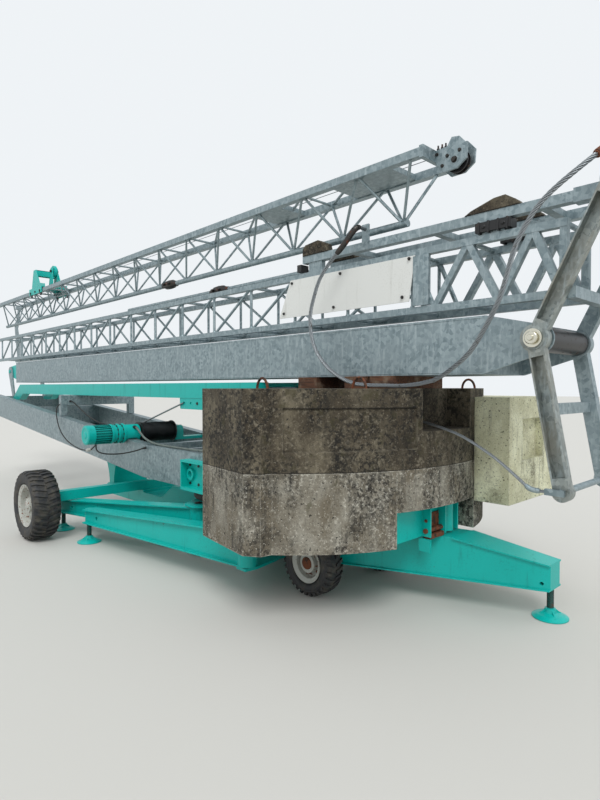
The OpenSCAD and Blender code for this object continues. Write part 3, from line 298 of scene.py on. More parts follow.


# cast concrete: mottled paste, black lichen in clusters, bright grit, pits painted near black (painted shade),
# washed streaks and moss, with pale worn edges and, when asked for, painted shade along its lower edges
def castConcrete(name, paste, stain, brown, grit, moss, mossy, stained, streaked, underside_shade=0.0):
    material, tree, at, up = begin(name)
    tone = layer(tree, patches(tree, at, 240, 0.34, 0.62, (1, 1, 1.6)), linear(paste), linear(brown))
    clouds = patches(tree, at, 360, stained, stained + 0.22, (1, 1, 1.5), 5.0)
    runs = weigh(tree, patches(tree, at, 46, 0.5, 0.7, (1, 1, 9), 6.0), patches(tree, at, 520, 0.42, 0.6))
    tone = layer(tree, weigh(tree, runs, streaked), tone, linear(stain))
    lichen = weigh(tree, patches(tree, at, 27, 0.46, 0.58, detail=8.0), clouds)
    tone = layer(tree, weigh(tree, lichen, 0.85), tone, linear(stain))
    crust = weigh(tree, patches(tree, at, 90, 0.4, 0.66, (1, 1, 1.4), 6.0), clouds)
    tone = layer(tree, weigh(tree, crust, 0.6), tone, linear(stain))
    mottle = patches(tree, at, 11, 0.5, 0.64, detail=4.0)
    tone = layer(tree, weigh(tree, mottle, 0.32), tone, linear(stain))
    bloom = weigh(tree, patches(tree, at, 24, 0.51, 0.68, detail=8.0), patches(tree, at, 300, 0.4, 0.6))
    tone = layer(tree, weigh(tree, bloom, 0.5), tone, linear(grit))
    # real grit is 4 to 8 mm wide, and is drawn coarser here so that it shows from the camera
    flecks = patches(tree, at, 13, 0.61, 0.65, detail=3.0)
    tone = layer(tree, weigh(tree, flecks, 0.4), tone, linear(grit))
    # pits are dented by the bump and painted near black: painted shade inside them
    pits = patches(tree, at, 18, 0.65, 0.68, detail=2.0)
    tone = layer(tree, weigh(tree, pits, 0.9), tone, linear("#1E1B18"))
    grain = add(tree, "TexNoise", {"Vector": at, "Scale": 160.0, "Detail": 6.0}).outputs[0]
    green = patches(tree, at, 120, 1 - mossy, 1.12 - mossy, detail=9.0)
    ends = {"Value": up, "From Min": -0.5, "From Max": 0.9, "To Min": 0.4, "To Max": 1.0}
    green = weigh(tree, green, add(tree, "MapRange", ends).outputs[0])
    tone = layer(tree, green, tone, linear(moss))
    grain = weigh(tree, grain, green, "ADD")
    # the rounded normal leaves the flat one at an edge, and looks down at a lower one
    turned = add(tree, "Bevel", {"Radius": 0.014}, samples=4).outputs[0]
    flat = add(tree, "NewGeometry").outputs["Normal"]
    same = add(tree, "VectorMath", {0: turned, 1: flat}, operation="DOT_PRODUCT").outputs["Value"]
    lean = add(tree, "SeparateXYZ", {0: turned}).outputs["Z"]
    # painted shade: near black where the rounded normal looks down, along the lower edges
    ends = {"Value": lean, "From Min": -0.1, "From Max": -0.4, "To Max": underside_shade}
    under = add(tree, "MapRange", ends).outputs[0]
    tone = layer(tree, under, tone, linear("#14120F"))
    edge = add(tree, "MapRange", {"Value": same, "From Min": 0.97, "From Max": 0.85, "To Max": 0.6}).outputs[0]
    worn = weigh(tree, weigh(tree, edge, patches(tree, at, 60, 0.42, 0.6)), under, "SUBTRACT")
    tone = layer(tree, worn, tone, linear(grit))
    height = weigh(tree, grain, pits, "SUBTRACT")
    return close(material, tree, {"Base Color": tone, "Roughness": 0.92}, height, 2.4, edge=10.0)


# old softwood gone brown, with grain along the crane
def oldTimber(name):
    material, tree, at, up = begin(name)
    grain = patches(tree, at, 14, 0.3, 0.72, (14, 1, 1), 8.0)
    tone = layer(tree, grain, linear("#6B452E"), linear("#33231A"))
    tone = layer(tree, patches(tree, at, 90, 0.5, 0.75), tone, linear("#7C6A57"))
    return close(material, tree, {"Base Color": tone, "Roughness": 0.85}, grain, 1.5, edge=4.0)


# tyre rubber: near black, brown dust lying in the tread and on the wall
def rubber(name, colour, dust):
    material, tree, at, up = begin(name)
    dusty = weigh(tree, patches(tree, at, 70, 0.4, 0.72), 0.7)
    tone = layer(tree, dusty, linear(colour), linear(dust))
    rough = add(tree, "MapRange", {"Value": dusty, "To Min": 0.62, "To Max": 0.9}).outputs[0]
    return close(material, tree, {"Base Color": tone, "Roughness": rough, "IOR": 1.52}, dusty, 0.4)


# plain steel: oily, dark or rusty by its colours
def steel(name, colour, rust, rusty, rough, metal=1.0):
    material, tree, at, up = begin(name)
    mask = patches(tree, at, 40, 0.7 - rusty * 0.4, 0.8 - rusty * 0.35, detail=8.0)
    tone = layer(tree, mask, linear(colour), linear(rust))
    shine = add(tree, "MapRange", {"Value": mask, "To Min": rough, "To Max": 0.85}).outputs[0]
    bare = add(tree, "MapRange", {"Value": mask, "To Min": metal, "To Max": 0.0}).outputs[0]
    return close(material, tree, {"Base Color": tone, "Roughness": shine, "Metallic": bare}, mask, 0.3)


looks = {
    "turquoise_paint": enamel("turquoise enamel", "#00ABA2", "#10BDB3", "#08544F", "#43291B", faded=0.2),
    # painted shade: this enamel darkens its recesses towards a near-black teal
    "recess_shaded_paint": enamel("turquoise enamel with painted recess shade", "#00ABA2", "#10BDB3", "#052C2A", "#43291B", faded=0.1,
        recess_shade=0.95),
    "dark_steel": steel("oiled dark steel", "#4A4846", "#5B3220", 0.35, 0.42),
    "polished_steel": steel("bright turned steel", "#DAD6C6", "#8E8368", 0.1, 0.24),
    "rusty_steel": steel("rusty steel", "#4B413A", "#6B3B22", 0.8, 0.6),
    "rim_paint": enamel("grey wheel enamel", "#A9ABA4", "#C3C4BC", "#5F5A4E", "#6E3B20", 0.58),
    "tyre": rubber("tyre rubber", "#26272A", "#5B564C"),
    "galvanised": zinc("hot-dip zinc", "#A3B1B5", "#75858A", "#879599"),
    "stained_zinc": zinc("rust-washed zinc", "#A4ABA8", "#777F7E", "#8B8779"),
    "black_steel": steel("black painted steel", "#1A1A1B", "#4A3A2E", 0.3, 0.4, 0.0),
    "concrete": castConcrete("grey cast concrete", "#8F8B7F", "#1A1815", "#6A6253", "#D2CEC0", "#4A4834", 0.38,
        0.36, 0.7),
    "mossy_concrete": castConcrete("dark mossy concrete", "#6C6453", "#100F0C", "#40382B", "#8C8473", "#3A3620",
        0.44, 0.33, 0.5, 0.95),
    "pale_concrete": castConcrete("pale cast concrete", "#E4E4C6", "#6F6C5A", "#C2C0A0", "#F0F0DC", "#8E8C6C",
        0.3, 0.52, 0.6),
    "timber": oldTimber("brown old timber"),
    "board_paint": enamel("white board enamel", "#D9DAD6", "#E2E2DE", "#A7A69E", "#8A6E58", 0.72),
    "wire_rope": steel("greased wire", "#92979A", "#4A453C", 0.25, 0.4),
    "drum_rope": steel("tarred wire", "#2A2D2E", "#16181A", 0.4, 0.5),
    "cable": rubber("cable sheath", "#141516", "#3A3833"),
    "grey_cable": rubber("grey cable sheath", "#66706B", "#4E5450"),
}
slots = {row["node"]: row["material_slot"] for row in frame["record"]["subparts"]}
# pieces whose wear differs from what their slot says, and the winch motor, whose recesses get painted shade
weathered_and_shaded = {"spreader_near": "stained_zinc", "strut_frames": "galvanised", "winch_motor": "recess_shaded_paint"}
for name, piece in nodes.items():
    piece.data.materials.clear()
    piece.data.materials.append(looks[weathered_and_shaded.get(name, slots[name])])
print("materials: every packed part has its own")


# ropes, laid up from round strands
def layRope(rope, name, node, body, n):
    radius = rope["diameter"] / 2
    line = smooth(rope["points"], n)
    steps = evenly(line, rope["diameter"] * 0.4)
    shape, gap_shade_core = Shape(), Shape()
    gap_shade_core.tube(steps[1:-1], radius * 0.54, 8)  # dark centre tube: painted shade seen in the gaps between the strands
    u, gone = None, 0.0
    frames = []
    for i, p in enumerate(steps):
        way = (steps[min(i + 1, len(steps) - 1)] - steps[max(i - 1, 0)]).normalized()
        u = across(way)[0] if u is None else (u - way * u.dot(way)).normalized()
        frames.append((p, u.copy(), way.cross(u), gone))
        gone += (steps[min(i + 1, len(steps) - 1)] - p).length
    for s in range(rope["strands"]):
        path = []
        for p, a, b, gone in frames:
            turn = 2 * math.pi * (s / rope["strands"] + gone / rope["lay"])
            path.append(p + (a * math.cos(turn) + b * math.sin(turn)) * radius * 0.68)
        shape.tube(path, radius * 0.3, 8)
    piece = place(shape, name, "wire_rope", body, angle=60)
    gap_shade_heart = place(gap_shade_core, name.replace("strands", "gap_shade_heart"), "drum_rope", body, angle=60)
    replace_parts(piece, node)


# swaged sockets at the ropes' ends, following the last few points of each
def ropeSocket(rope, name, body, n, start, end, radius, look="rusty_steel"):
    path = evenly(smooth(rope["points"], n), 0.008)
    total = len(path)
    shape = Shape()
    part = path[int(total * start) : int(total * end)]
    for i, p in enumerate(part[:-1]):
        f = i / (len(part) - 2)
        shape.rod(p, part[i + 1], radius * min(1, 0.82 + 2 * min(f, 1 - f)), 14)
    return place(shape, name, look, body)


# a round cable between two places on the crane, with a tapered relief where it leaves a housing
def runCable(cable, name, body, look, relieved=(0,)):
    line = smooth(cable["points"], 6)
    shape = Shape()
    shape.tube(line, cable["diameter"] / 2, 12)
    piece = place(shape, name, look, body, angle=60)
    for end in relieved:
        steps = evenly(line[::-1] if end else line, 0.004)[:12]
        shape = Shape()
        for i, (a, b) in enumerate(zip(steps, steps[1:])):
            radius = cable["diameter"] * (0.92 - 0.034 * i - (0.08 if i % 2 else 0))
            shape.rod(a, b, radius, 14)
        place(shape, name + ("_far_relief" if end else "_relief"), "cable", body)


hoistRope = {
    "diameter": 0.028,
    "strands": 6,
    "lay": 0.17,
    "points": [
        (5.24, -0.2003, 2.72), (5.24, -0.23, 2.72), (5.24, -0.26, 2.715), (5.215, -0.32, 2.67),
        (5.14, -0.37, 2.6), (5.04, -0.4, 2.52), (4.96, -0.42, 2.43), (4.88, -0.44, 2.28), (4.84, -0.45, 2.14),
        (4.8, -0.46, 2.0), (4.73, -0.46, 1.87), (4.63, -0.45, 1.73), (4.5, -0.42, 1.64), (4.34, -0.37, 1.57),
        (4.12, -0.33, 1.54), (3.96, -0.34, 1.54), (3.75, -0.39, 1.55), (3.6, -0.42, 1.61), (3.47, -0.43, 1.71),
        (3.36, -0.42, 1.85), (3.31, -0.4, 2.04), (3.33, -0.38, 2.19), (3.37, -0.36, 2.32), (3.44, -0.33, 2.43),
        (3.55, -0.305, 2.54), (3.625, -0.275, 2.64), (3.64, -0.24, 2.665), (3.64, -0.205, 2.665),
        (3.64, -0.1703, 2.665),
    ],
}
pendant = {
    "diameter": 0.018,
    "strands": 6,
    "lay": 0.11,
    "points": [
        (4.0003, -0.15, 1.31), (4.04, -0.15, 1.31), (4.08, -0.15, 1.31), (4.18, -0.185, 1.295),
        (4.33, -0.25, 1.275), (4.5, -0.3, 1.235), (4.71, -0.34, 1.14), (4.85, -0.362, 1.05),
        (4.91, -0.366, 1.005), (4.94, -0.366, 0.988), (4.975, -0.366, 0.985), (5.01, -0.366, 0.985),
    ],
}
motorCable = {
    "diameter": 0.014,
    "points": [
        (0.52, -0.81, 1.005), (0.518, -0.811, 0.975), (0.522, -0.814, 0.935), (0.545, -0.825, 0.895),
        (0.6, -0.84, 0.868), (0.68, -0.84, 0.852), (0.77, -0.815, 0.845), (0.86, -0.77, 0.847),
        (0.94, -0.715, 0.857), (1.01, -0.655, 0.875), (1.06, -0.605, 0.895), (1.09, -0.575, 0.91),
        (1.105, -0.5505, 0.915),
    ],
}
feedCable = {
    "diameter": 0.016,
    "points": [
        (-1.249, -0.4, 1.34), (-1.21, -0.4, 1.34), (-1.15, -0.401, 1.33), (-1.03, -0.403, 1.292),
        (-0.88, -0.405, 1.238), (-0.7, -0.408, 1.18), (-0.5, -0.41, 1.13), (-0.3, -0.413, 1.098),
        (-0.1, -0.416, 1.082), (0.1, -0.419, 1.078), (0.28, -0.422, 1.08), (0.42, -0.425, 1.08),
        (0.51, -0.43, 1.075), (0.55, -0.432, 1.07),
    ],
}
plugCable = {
    "diameter": 0.014,
    "points": [
        (-1.29, -0.4405, 1.31), (-1.29, -0.475, 1.31), (-1.288, -0.52, 1.3), (-1.28, -0.56, 1.262),
        (-1.262, -0.578, 1.2), (-1.225, -0.584, 1.11), (-1.15, -0.588, 1.01), (-1.03, -0.592, 0.925),
        (-0.86, -0.602, 0.862), (-0.65, -0.62, 0.822), (-0.42, -0.645, 0.802), (-0.19, -0.675, 0.798),
        (0.03, -0.705, 0.812), (0.21, -0.735, 0.842), (0.34, -0.757, 0.882), (0.43, -0.772, 0.925),
        (0.485, -0.78, 0.965), (0.515, -0.785, 1.004),
    ],
}
drumHose = {
    "diameter": 0.022,
    "points": [
        (0.7, -0.47, 1.098), (0.735, -0.472, 1.1), (0.79, -0.476, 1.082), (0.87, -0.482, 1.04),
        (0.97, -0.488, 0.997), (1.1, -0.492, 0.968), (1.27, -0.495, 0.9535), (1.46, -0.497, 0.9525),
        (1.68, -0.497, 0.9525), (1.9, -0.496, 0.953), (2.12, -0.494, 0.962), (2.34, -0.491, 0.985),
        (2.54, -0.488, 1.018), (2.72, -0.485, 1.052), (2.87, -0.482, 1.077), (2.984, -0.48, 1.085),
    ],
}
hoistSocket = ropeSocket(hoistRope, "hoist_rope_socket", "jib", 2, 0.915, 0.985, 0.021, "dark_steel")
hoistSleeve = ropeSocket(hoistRope, "hoist_rope_sleeve", "jib", 2, 0.006, 0.038, 0.023)
layRope(hoistRope, "hoist_rope_strands", "wire_rope", "jib", 2)
pendantSocket = ropeSocket(pendant, "pendant_socket", "mast", 3, 0.9, 0.985, 0.014, "galvanised")
layRope(pendant, "pendant_rope_strands", "pendant_rope", "mast", 3)
runCable(motorCable, "motor_cable", "platform", "cable", (0, 1))
runCable(feedCable, "feed_cable", "platform", "cable", (0, 1))
runCable(plugCable, "plug_cable", "platform", "cable", (0, 1))
runCable(drumHose, "drum_hose", "platform", "grey_cable")


# tyres with their lugs
def makeTyre(tyre, which, side):
    r, w, seat = tyre["across"] / 2, tyre["width"], tyre["rim"] / 2 + 0.0003
    centre = Vector((tyre["x"], side * tyre["y"], r))
    half = w / 2
    base = r - tyre["deep"]
    wall = [
        (seat, half - 0.04), (seat + 0.012, half - 0.036), (seat + 0.022, half - 0.016),
        (seat + 0.032, half - 0.008), ((seat + r) / 2, half), (r - 0.045, half - 0.004),
        (r - 0.04, half - 0.002), (base - 0.018, half - 0.012), (base, half - 0.045),
    ]
    profile = wall + [(base, 0.0)] + [(a, -b) for a, b in wall[::-1]]
    shape = Shape()
    shape.lathe(profile, centre, (0, 1, 0), 96, closed=True)
    count = tyre["lugs"]
    for k in range(count):
        for s in (-1, 1):
            start = 2 * math.pi * (k + (0.5 if s > 0 else 0)) / count
            rows = []
            for j in range(5):
                f = j / 4
                y = s * (0.004 + f * (half - 0.012))
                lean = start + f * 0.55 * 2 * math.pi / count
                top = r - 0.0005 - max(0.0, f - 0.72) * (r * 0.18)
                wide = 2 * math.pi / count * (0.21 + 0.07 * f)
                for reach, rad in ((-1, base - 0.02), (-0.8, top), (0.8, top), (1, base - 0.02)):
                    a = lean + reach * wide
                    rows.append(centre + Vector((math.cos(a) * rad, y, math.sin(a) * rad)))
            corners = [j * 4 + i for j in range(4) for i in range(3)]
            faces = [[c, c + 1, c + 5, c + 4] for c in corners]
            faces += [[0, 1, 2, 3], [19, 18, 17, 16]]
            shape.take(rows, faces)
    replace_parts(place(shape, "tread_" + which, "tyre", "wheel_" + which, angle=28), "tyre_" + which)


rearTyre = {"x": 0.355, "y": 1.36, "across": 0.69, "width": 0.26, "rim": 0.4, "lugs": 34, "deep": 0.014,
    "nuts": 0.105}
frontTyre = {"x": 3.34, "y": 0.4, "across": 0.48, "width": 0.18, "rim": 0.26, "lugs": 30, "deep": 0.009,
    "nuts": 0.084}
for tyre, where in ((rearTyre, "rear"), (frontTyre, "front")):
    for side, far in ((-1, "near"), (1, "far")):
        makeTyre(tyre, where + "_" + far, side)
print("tyres: four with lugs")


# from here on, what the photograph shows on the steel and is too small for the part's own solids

# pin ends and collars at the head of the mast
hub = {"x": 4.935, "z": 1.79, "face": 0.358, "pin": 0.034, "ring": 0.05}
shape = Shape()
collar = [(0.0, 0.03), (hub["pin"] - 0.004, 0.03), (hub["pin"], 0.026), (hub["pin"], 0.014)]
collar += [(0.028, 0.012), (0.028, 0.006), (hub["ring"], 0.006), (hub["ring"], -0.004)]
for side in (-1, 1):
    at = (hub["x"], side * hub["face"], hub["z"])
    shape.lathe(collar, at, (0, side, 0), 40)
    shape.lathe([(0.0, 0.042), (0.014, 0.042), (0.016, 0.038), (0.016, 0.028)], at, (0, side, 0), 24)
place(shape, "hub_pin_ends", "polished_steel", "mast")

# welds down the girder's webs and along its edges
girder = {"face": 0.28, "low": 1.605, "top": 1.945, "left": -3.925, "taper": 4.615, "slope": 0.42,
    "seams": ((-1.02, 1.945), (1.88, 1.945), (4.788, 1.885)), "bead": 0.0045, "edgeBead": 0.0035,
    "inset": 0.012}
shape = Shape()
for side in (-1, 1):
    y = side * (girder["face"] - 0.001)
    for x, top in girder["seams"]:
        low = girder["low"] + max(0.0, x - girder["taper"]) * girder["slope"]
        shape.rod((x, y, low + girder["inset"]), (x, y, top - girder["inset"]), girder["bead"], 8)
    for z in (girder["low"] + girder["inset"], girder["top"] - girder["inset"]):
        shape.rod((girder["left"] + 0.01, y, z), (girder["taper"], y, z), girder["edgeBead"], 8)
place(shape, "girder_welds", "galvanised", "mast")

# black bolts through the sign board
board = {"face": -0.197, "bolt": 0.011, "places": [(4.038, 2.383), (3.423, 2.377), (3.983, 2.134),
    (3.356, 2.133), (2.895, 2.374), (2.797, 2.137)]}
shape = Shape()
for x, z in board["places"]:
    shape.bolt((x, board["face"], z), (0, -1, 0), board["bolt"])
place(shape, "board_bolts", "black_steel", "jib")

# plate on the jib's side to the right of the board, with its edge bent inwards
sidePlate = {"left": 4.068, "bend": 4.15, "right": 4.186, "low": 2.064, "top": 2.392, "face": -0.196,
    "back": -0.188, "edge": -0.166}
low, top, face = sidePlate["low"], sidePlate["top"], sidePlate["face"]
shape = Shape()
shape.box((sidePlate["left"], face, low), (sidePlate["bend"], sidePlate["back"], top))
shape.box((sidePlate["bend"], face, low), (sidePlate["right"], sidePlate["edge"], top))
place(shape, "side_plate", "galvanised", "jib", bevel=0.002)

# weld beads where the lattice bars meet the chords
jib = {"first": 4.044, "bay": 0.573, "bays": 16, "side": 0.162, "low": 2.037, "top": 2.417, "brace": 0.013,
    "bead": (0.02, 0.034)}
tip = {"first": 3.567, "bay": 0.571, "bays": 15, "rail": 0.177, "railZ": 3.062, "chordZ": 2.69, "brace": 0.011,
    "left": -5.38, "right": 3.9, "railBead": (0.026, 0.044), "chordBead": (0.022, 0.04)}
swell, fade = 0.007, 0.001  # how far a bead stands out from its bar where it starts and where it ends
shape = Shape()
start, end = jib["bead"]
for k in range(jib["bays"] + 1):
    x, wide = jib["first"] - k * jib["bay"], jib["brace"]
    for y in (-jib["side"], jib["side"]):
        for z, way in ((jib["low"], 1), (jib["top"], -1)):
            shape.rod((x, y, z + way * start), (x, y, z + way * end), wide + swell, 10, wide + fade)
place(shape, "jib_welds", "galvanised", "jib")
shape = Shape()
for k in range(tip["bays"] + 1):
    x, wide = tip["first"] - k * tip["bay"], tip["brace"]
    for side in (-1, 1):
        for dx in (-0.5, 0.5):
            a = Vector((x, side * tip["rail"], tip["railZ"]))
            b = Vector((x + dx * tip["bay"], 0, tip["chordZ"]))
            if b.x < tip["left"] or b.x > tip["right"]:
                continue
            way = (b - a).normalized()
            start, end = tip["railBead"]
            shape.rod(a + way * start, a + way * end, wide + swell, 8, wide + fade)
            start, end = tip["chordBead"]
            shape.rod(b - way * start, b - way * end, wide + swell, 8, wide + fade)
place(shape, "tip_welds", "galvanised", "tip")

# cast sockets on the stay bar and on the tip's chord
spindle = [(0.012, -0.17), (0.026, -0.15), (0.03, -0.11), (0.046, -0.07), (0.05, 0.0), (0.046, 0.07),
    (0.03, 0.11), (0.026, 0.15), (0.012, 0.17)]
sockets = {"stay_socket": (1.62, 2.5, "jib"), "chord_socket": (0.66, tip["chordZ"], "tip")}
socketPin = {"apart": 0.05, "reach": 0.062, "radius": 0.013, "nutAt": 0.06, "nut": 0.016}
for name, (middle, z, body) in sockets.items():
    shape = Shape()
    shape.lathe(spindle, (middle, 0, z), (1, 0, 0), 28)
    for x in (middle - socketPin["apart"], middle + socketPin["apart"]):
        shape.rod((x, -socketPin["reach"], z), (x, socketPin["reach"], z), socketPin["radius"], 14)
        for side in (-1, 1):
            shape.bolt((x, side * socketPin["nutAt"], z), (0, side, 0), socketPin["nut"])
    place(shape, name, "dark_steel", body)

# bolts on the cheeks of the tip's head, and studs along their top
heads = [(4.237, 3.04, 0.012), (4.326, 3.052, 0.012), (4.2, 2.985, 0.012), (4.16, 3.07, 0.012),
    (4.288, 3.002, 0.02)]
cheek = {"face": 0.0592, "studs": (4.165, 4.195, 4.222), "studSide": 0.052, "studLow": 3.098,
    "studTop": 3.128, "stud": 0.006, "nutZ": 3.104, "nut": 0.01}
shape = Shape()
for side in (-1, 1):
    for x, z, size in heads:
        shape.bolt((x, side * cheek["face"], z), (0, side, 0), size)
    y = side * cheek["studSide"]
    for x in cheek["studs"]:
        shape.rod((x, y, cheek["studLow"]), (x, y, cheek["studTop"]), cheek["stud"], 10)
        shape.bolt((x, y, cheek["nutZ"]), (0, 0, 1), cheek["nut"])
place(shape, "head_bolts", "dark_steel", "tip")

# thin trolley ropes stretched along the tip, on top of its rails
steelRope = {"radius": 0.003, "side": 0.03, "z": 3.0985, "from": -5.3, "to": 4.18}
shape = Shape()
for y in (-steelRope["side"], steelRope["side"]):
    start, end = (steelRope["from"], y, steelRope["z"]), (steelRope["to"], y, steelRope["z"])
    shape.rod(start, end, steelRope["radius"], 8)
place(shape, "trolley_ropes", "wire_rope", "tip")

# bolts and rollers of the trolley
trolley = {"x": -3.12, "side": 0.221, "z": 3.055, "reach": 0.21, "bolt": 0.017, "roller": 0.026,
    "rollerZ": 3.006, "rollerFrom": 0.213, "rollerTo": 0.196, "lowBolt": 0.013, "lowBoltZ": 3.03,
    "headSide": 0.048, "headZ": 3.38, "headBolt": 0.022}
shape = Shape()
for side in (-1, 1):
    for dx in (-trolley["reach"], 0, trolley["reach"]):
        x, y = trolley["x"] + dx, side * trolley["side"]
        shape.bolt((x, y, trolley["z"]), (0, side, 0), trolley["bolt"])
        if dx:
            start = (x, side * trolley["rollerFrom"], trolley["rollerZ"])
            shape.rod(start, (x, side * trolley["rollerTo"], trolley["rollerZ"]), trolley["roller"], 24)
            shape.bolt((x, y, trolley["lowBoltZ"]), (0, side, 0), trolley["lowBolt"])
for side in (-1, 1):
    at = (trolley["x"] + trolley["reach"], side * trolley["headSide"], trolley["headZ"])
    shape.bolt(at, (0, side, 0), trolley["headBolt"])
place(shape, "trolley_bolts", "dark_steel", "trolley")

# channel that bridges the trolley's two side plates over the tip
arch = {"back": -0.196, "front": -0.094, "low": 3.335, "top": 3.429, "half": 0.166, "wall": 0.01}
back, front = trolley["x"] + arch["back"], trolley["x"] + arch["front"]
low, top, half, wall = arch["low"], arch["top"], arch["half"], arch["wall"]
shape = Shape()
shape.box((back, -half, top - wall), (front, half, top))
shape.box((back, -half, low), (back + wall, half, top))
shape.box((front - wall, -half, low), (front, half, top))
place(shape, "trolley_arch", "turquoise_paint", "trolley", bevel=0.002)
print("details: mast, jib, tip and trolley")

# clamps on the rails near the head, dark and greasy
clamps = {"side": 0.162, "half": 0.042, "low": 2.45, "top": 2.508, "spans": ((4.515, 4.735), (2.965, 3.012)),
    "ribs": (4.54, 4.60, 4.66, 4.715), "rib": 0.006, "ribHalf": 0.047, "ribLow": 2.442, "ribTop": 2.512,
    "bolts": (4.57, 4.69), "boltZ": 2.48, "bolt": 0.012}
shape = Shape()
for side in (-1, 1):
    y, half, rib = side * clamps["side"], clamps["half"], clamps["rib"]
    for x0, x1 in clamps["spans"]:
        shape.box((x0, y - half, clamps["low"]), (x1, y + half, clamps["top"]))
    for x in clamps["ribs"]:
        low = (x - rib, y - clamps["ribHalf"], clamps["ribLow"])
        shape.box(low, (x + rib, y + clamps["ribHalf"], clamps["ribTop"]))
    for x in clamps["bolts"]:
        shape.bolt((x, y + side * half, clamps["boltZ"]), (0, side, 0), clamps["bolt"])
place(shape, "rail_clamps", "black_steel", "jib", bevel=0.002)

# flange bolts of the winch, and the lid and terminal box of its motor
winch = {"x": 0.635, "z": 1.035, "flanges": (-0.66, -0.6), "bolts": 12, "boltCircle": 0.096, "bolt": 0.009,
    "lidAt": -0.975, "drumFrom": -0.382, "drumTo": 0.012, "drum": 0.1, "lay": 0.011}
shape = Shape()
for y in winch["flanges"]:
    for k in range(winch["bolts"]):
        turn = 2 * math.pi * k / winch["bolts"]
        out, up = math.cos(turn) * winch["boltCircle"], math.sin(turn) * winch["boltCircle"]
        shape.bolt((winch["x"] + out, y, winch["z"] + up), (0, -1, 0), winch["bolt"])
place(shape, "winch_bolts", "dark_steel", "platform")
lid = [(0.0, 0.008), (0.03, 0.008), (0.036, 0.002), (0.07, 0.002), (0.074, 0.006), (0.09, 0.004),
    (0.096, -0.006)]
terminals = {"left": -0.16, "right": -0.085, "front": -0.86, "back": -0.76, "low": -0.03, "top": 0.06}
low = (winch["x"] + terminals["left"], terminals["front"], winch["z"] + terminals["low"])
high = (winch["x"] + terminals["right"], terminals["back"], winch["z"] + terminals["top"])
shape = Shape()
shape.lathe(lid, (winch["x"], winch["lidAt"], winch["z"]), (0, -1, 0), 48)
shape.box(low, high)
place(shape, "motor_cover", "turquoise_paint", "platform", bevel=0.003)

# rope wound on the drum, lay beside lay
shape = Shape()
count = int((winch["drumTo"] - winch["drumFrom"]) / winch["lay"])
profile = []
for k in range(count):
    y = winch["drumFrom"] + k * winch["lay"]
    for f, r in ((0.0, 0.0), (0.25, 0.0045), (0.5, 0.0062), (0.75, 0.0045)):
        profile.append((winch["drum"] + r, y + f * winch["lay"]))
shape.lathe(profile, (winch["x"], 0, winch["z"]), (0, 1, 0), 56)
place(shape, "drum_windings", "drum_rope", "drum")

# bolts on the ring bracket and on the strut's hanging plate
bracket = {"x": (1.945, 2.08, 2.215), "z": (0.665, 0.83), "face": 0.562, "bolt": 0.013}
hanger = {"x": (1.66, 1.8, 1.98), "z": 1.37, "face": -0.3, "bolt": 0.014}
shape = Shape()
for side in (-1, 1):
    for x in bracket["x"]:
        for z in bracket["z"]:
            shape.bolt((x, side * bracket["face"], z), (0, side, 0), bracket["bolt"])
for x in hanger["x"]:
    shape.bolt((x, hanger["face"], hanger["z"]), (0, -1, 0), hanger["bolt"])
place(shape, "bracket_bolts", "dark_steel", "platform")

# gear round the slewing ring, and the bolts under its overhang
ring = {"x": 1.975, "radius": 0.45, "low": 0.488, "teeth": 110, "tooth": 0.009, "gearUp": 0.008, "gear": 0.036,
    "bolts": 36, "boltCircle": 0.41, "bolt": 0.012, "covered": 0.26}
shape = Shape()
outline = []
for k in range(ring["teeth"]):
    for f, r in ((0.0, -0.001), (0.28, -0.001), (0.4, ring["tooth"]), (0.62, ring["tooth"])):
        turn = 2 * math.pi * (k + f) / ring["teeth"]
        outline.append((math.cos(turn) * (ring["radius"] + r), math.sin(turn) * (ring["radius"] + r)))
foot = (ring["x"], 0, ring["low"] + ring["gearUp"])
shape.prism(outline, foot, (1, 0, 0), (0, 1, 0), (0, 0, ring["gear"]))
for k in range(ring["bolts"]):
    turn = 2 * math.pi * k / ring["bolts"]
    x, y = ring["x"] + math.cos(turn) * ring["boltCircle"], math.sin(turn) * ring["boltCircle"]
    if abs(y) > ring["covered"]:
        shape.bolt((x, y, ring["low"]), (0, 0, -1), ring["bolt"])
place(shape, "ring_gear", "dark_steel", "chassis", angle=20)

# threads on the jack screws and ribs on their pads
jacks = {"arm_near_right": [(0.845, -1.03)], "arm_far_right": [(0.845, 1.03)],
    "chassis": [(0.175, -1.03), (0.175, 1.03), (4.725, 0.45)]}
screw = {"low": 0.063, "top": 0.195, "turns": 22, "pitch": 0.006, "root": 0.0195, "crest": 0.0225}
padRib = {"count": 4, "out": 0.034, "thick": 0.008, "outline": [(0.0, 0.008), (0.054, 0.014), (0.0, 0.056)]}
for body, places in jacks.items():
    thread, ribs = Shape(), Shape()
    for x, y in places:
        profile = []
        for k in range(screw["turns"]):
            z = screw["low"] + k * screw["pitch"]
            profile += [(screw["root"], z), (screw["crest"], z + 0.002), (screw["crest"], z + 0.0035)]
        thread.lathe(profile + [(screw["root"], screw["top"])], (x, y, 0), (0, 0, 1), 24)
        for k in range(padRib["count"]):
            turn = math.pi / 4 + 2 * math.pi / padRib["count"] * k
            u = Vector((math.cos(turn), math.sin(turn), 0))
            v = Vector((u.y, -u.x, 0)) * padRib["thick"]
            foot = Vector((x, y, 0)) + u * padRib["out"] - v / 2
            ribs.prism(padRib["outline"], foot, u, (0, 0, 1), v)
    place(thread, "jack_thread_" + body, "dark_steel", body)
    place(ribs, "pad_ribs_" + body, "turquoise_paint", body)

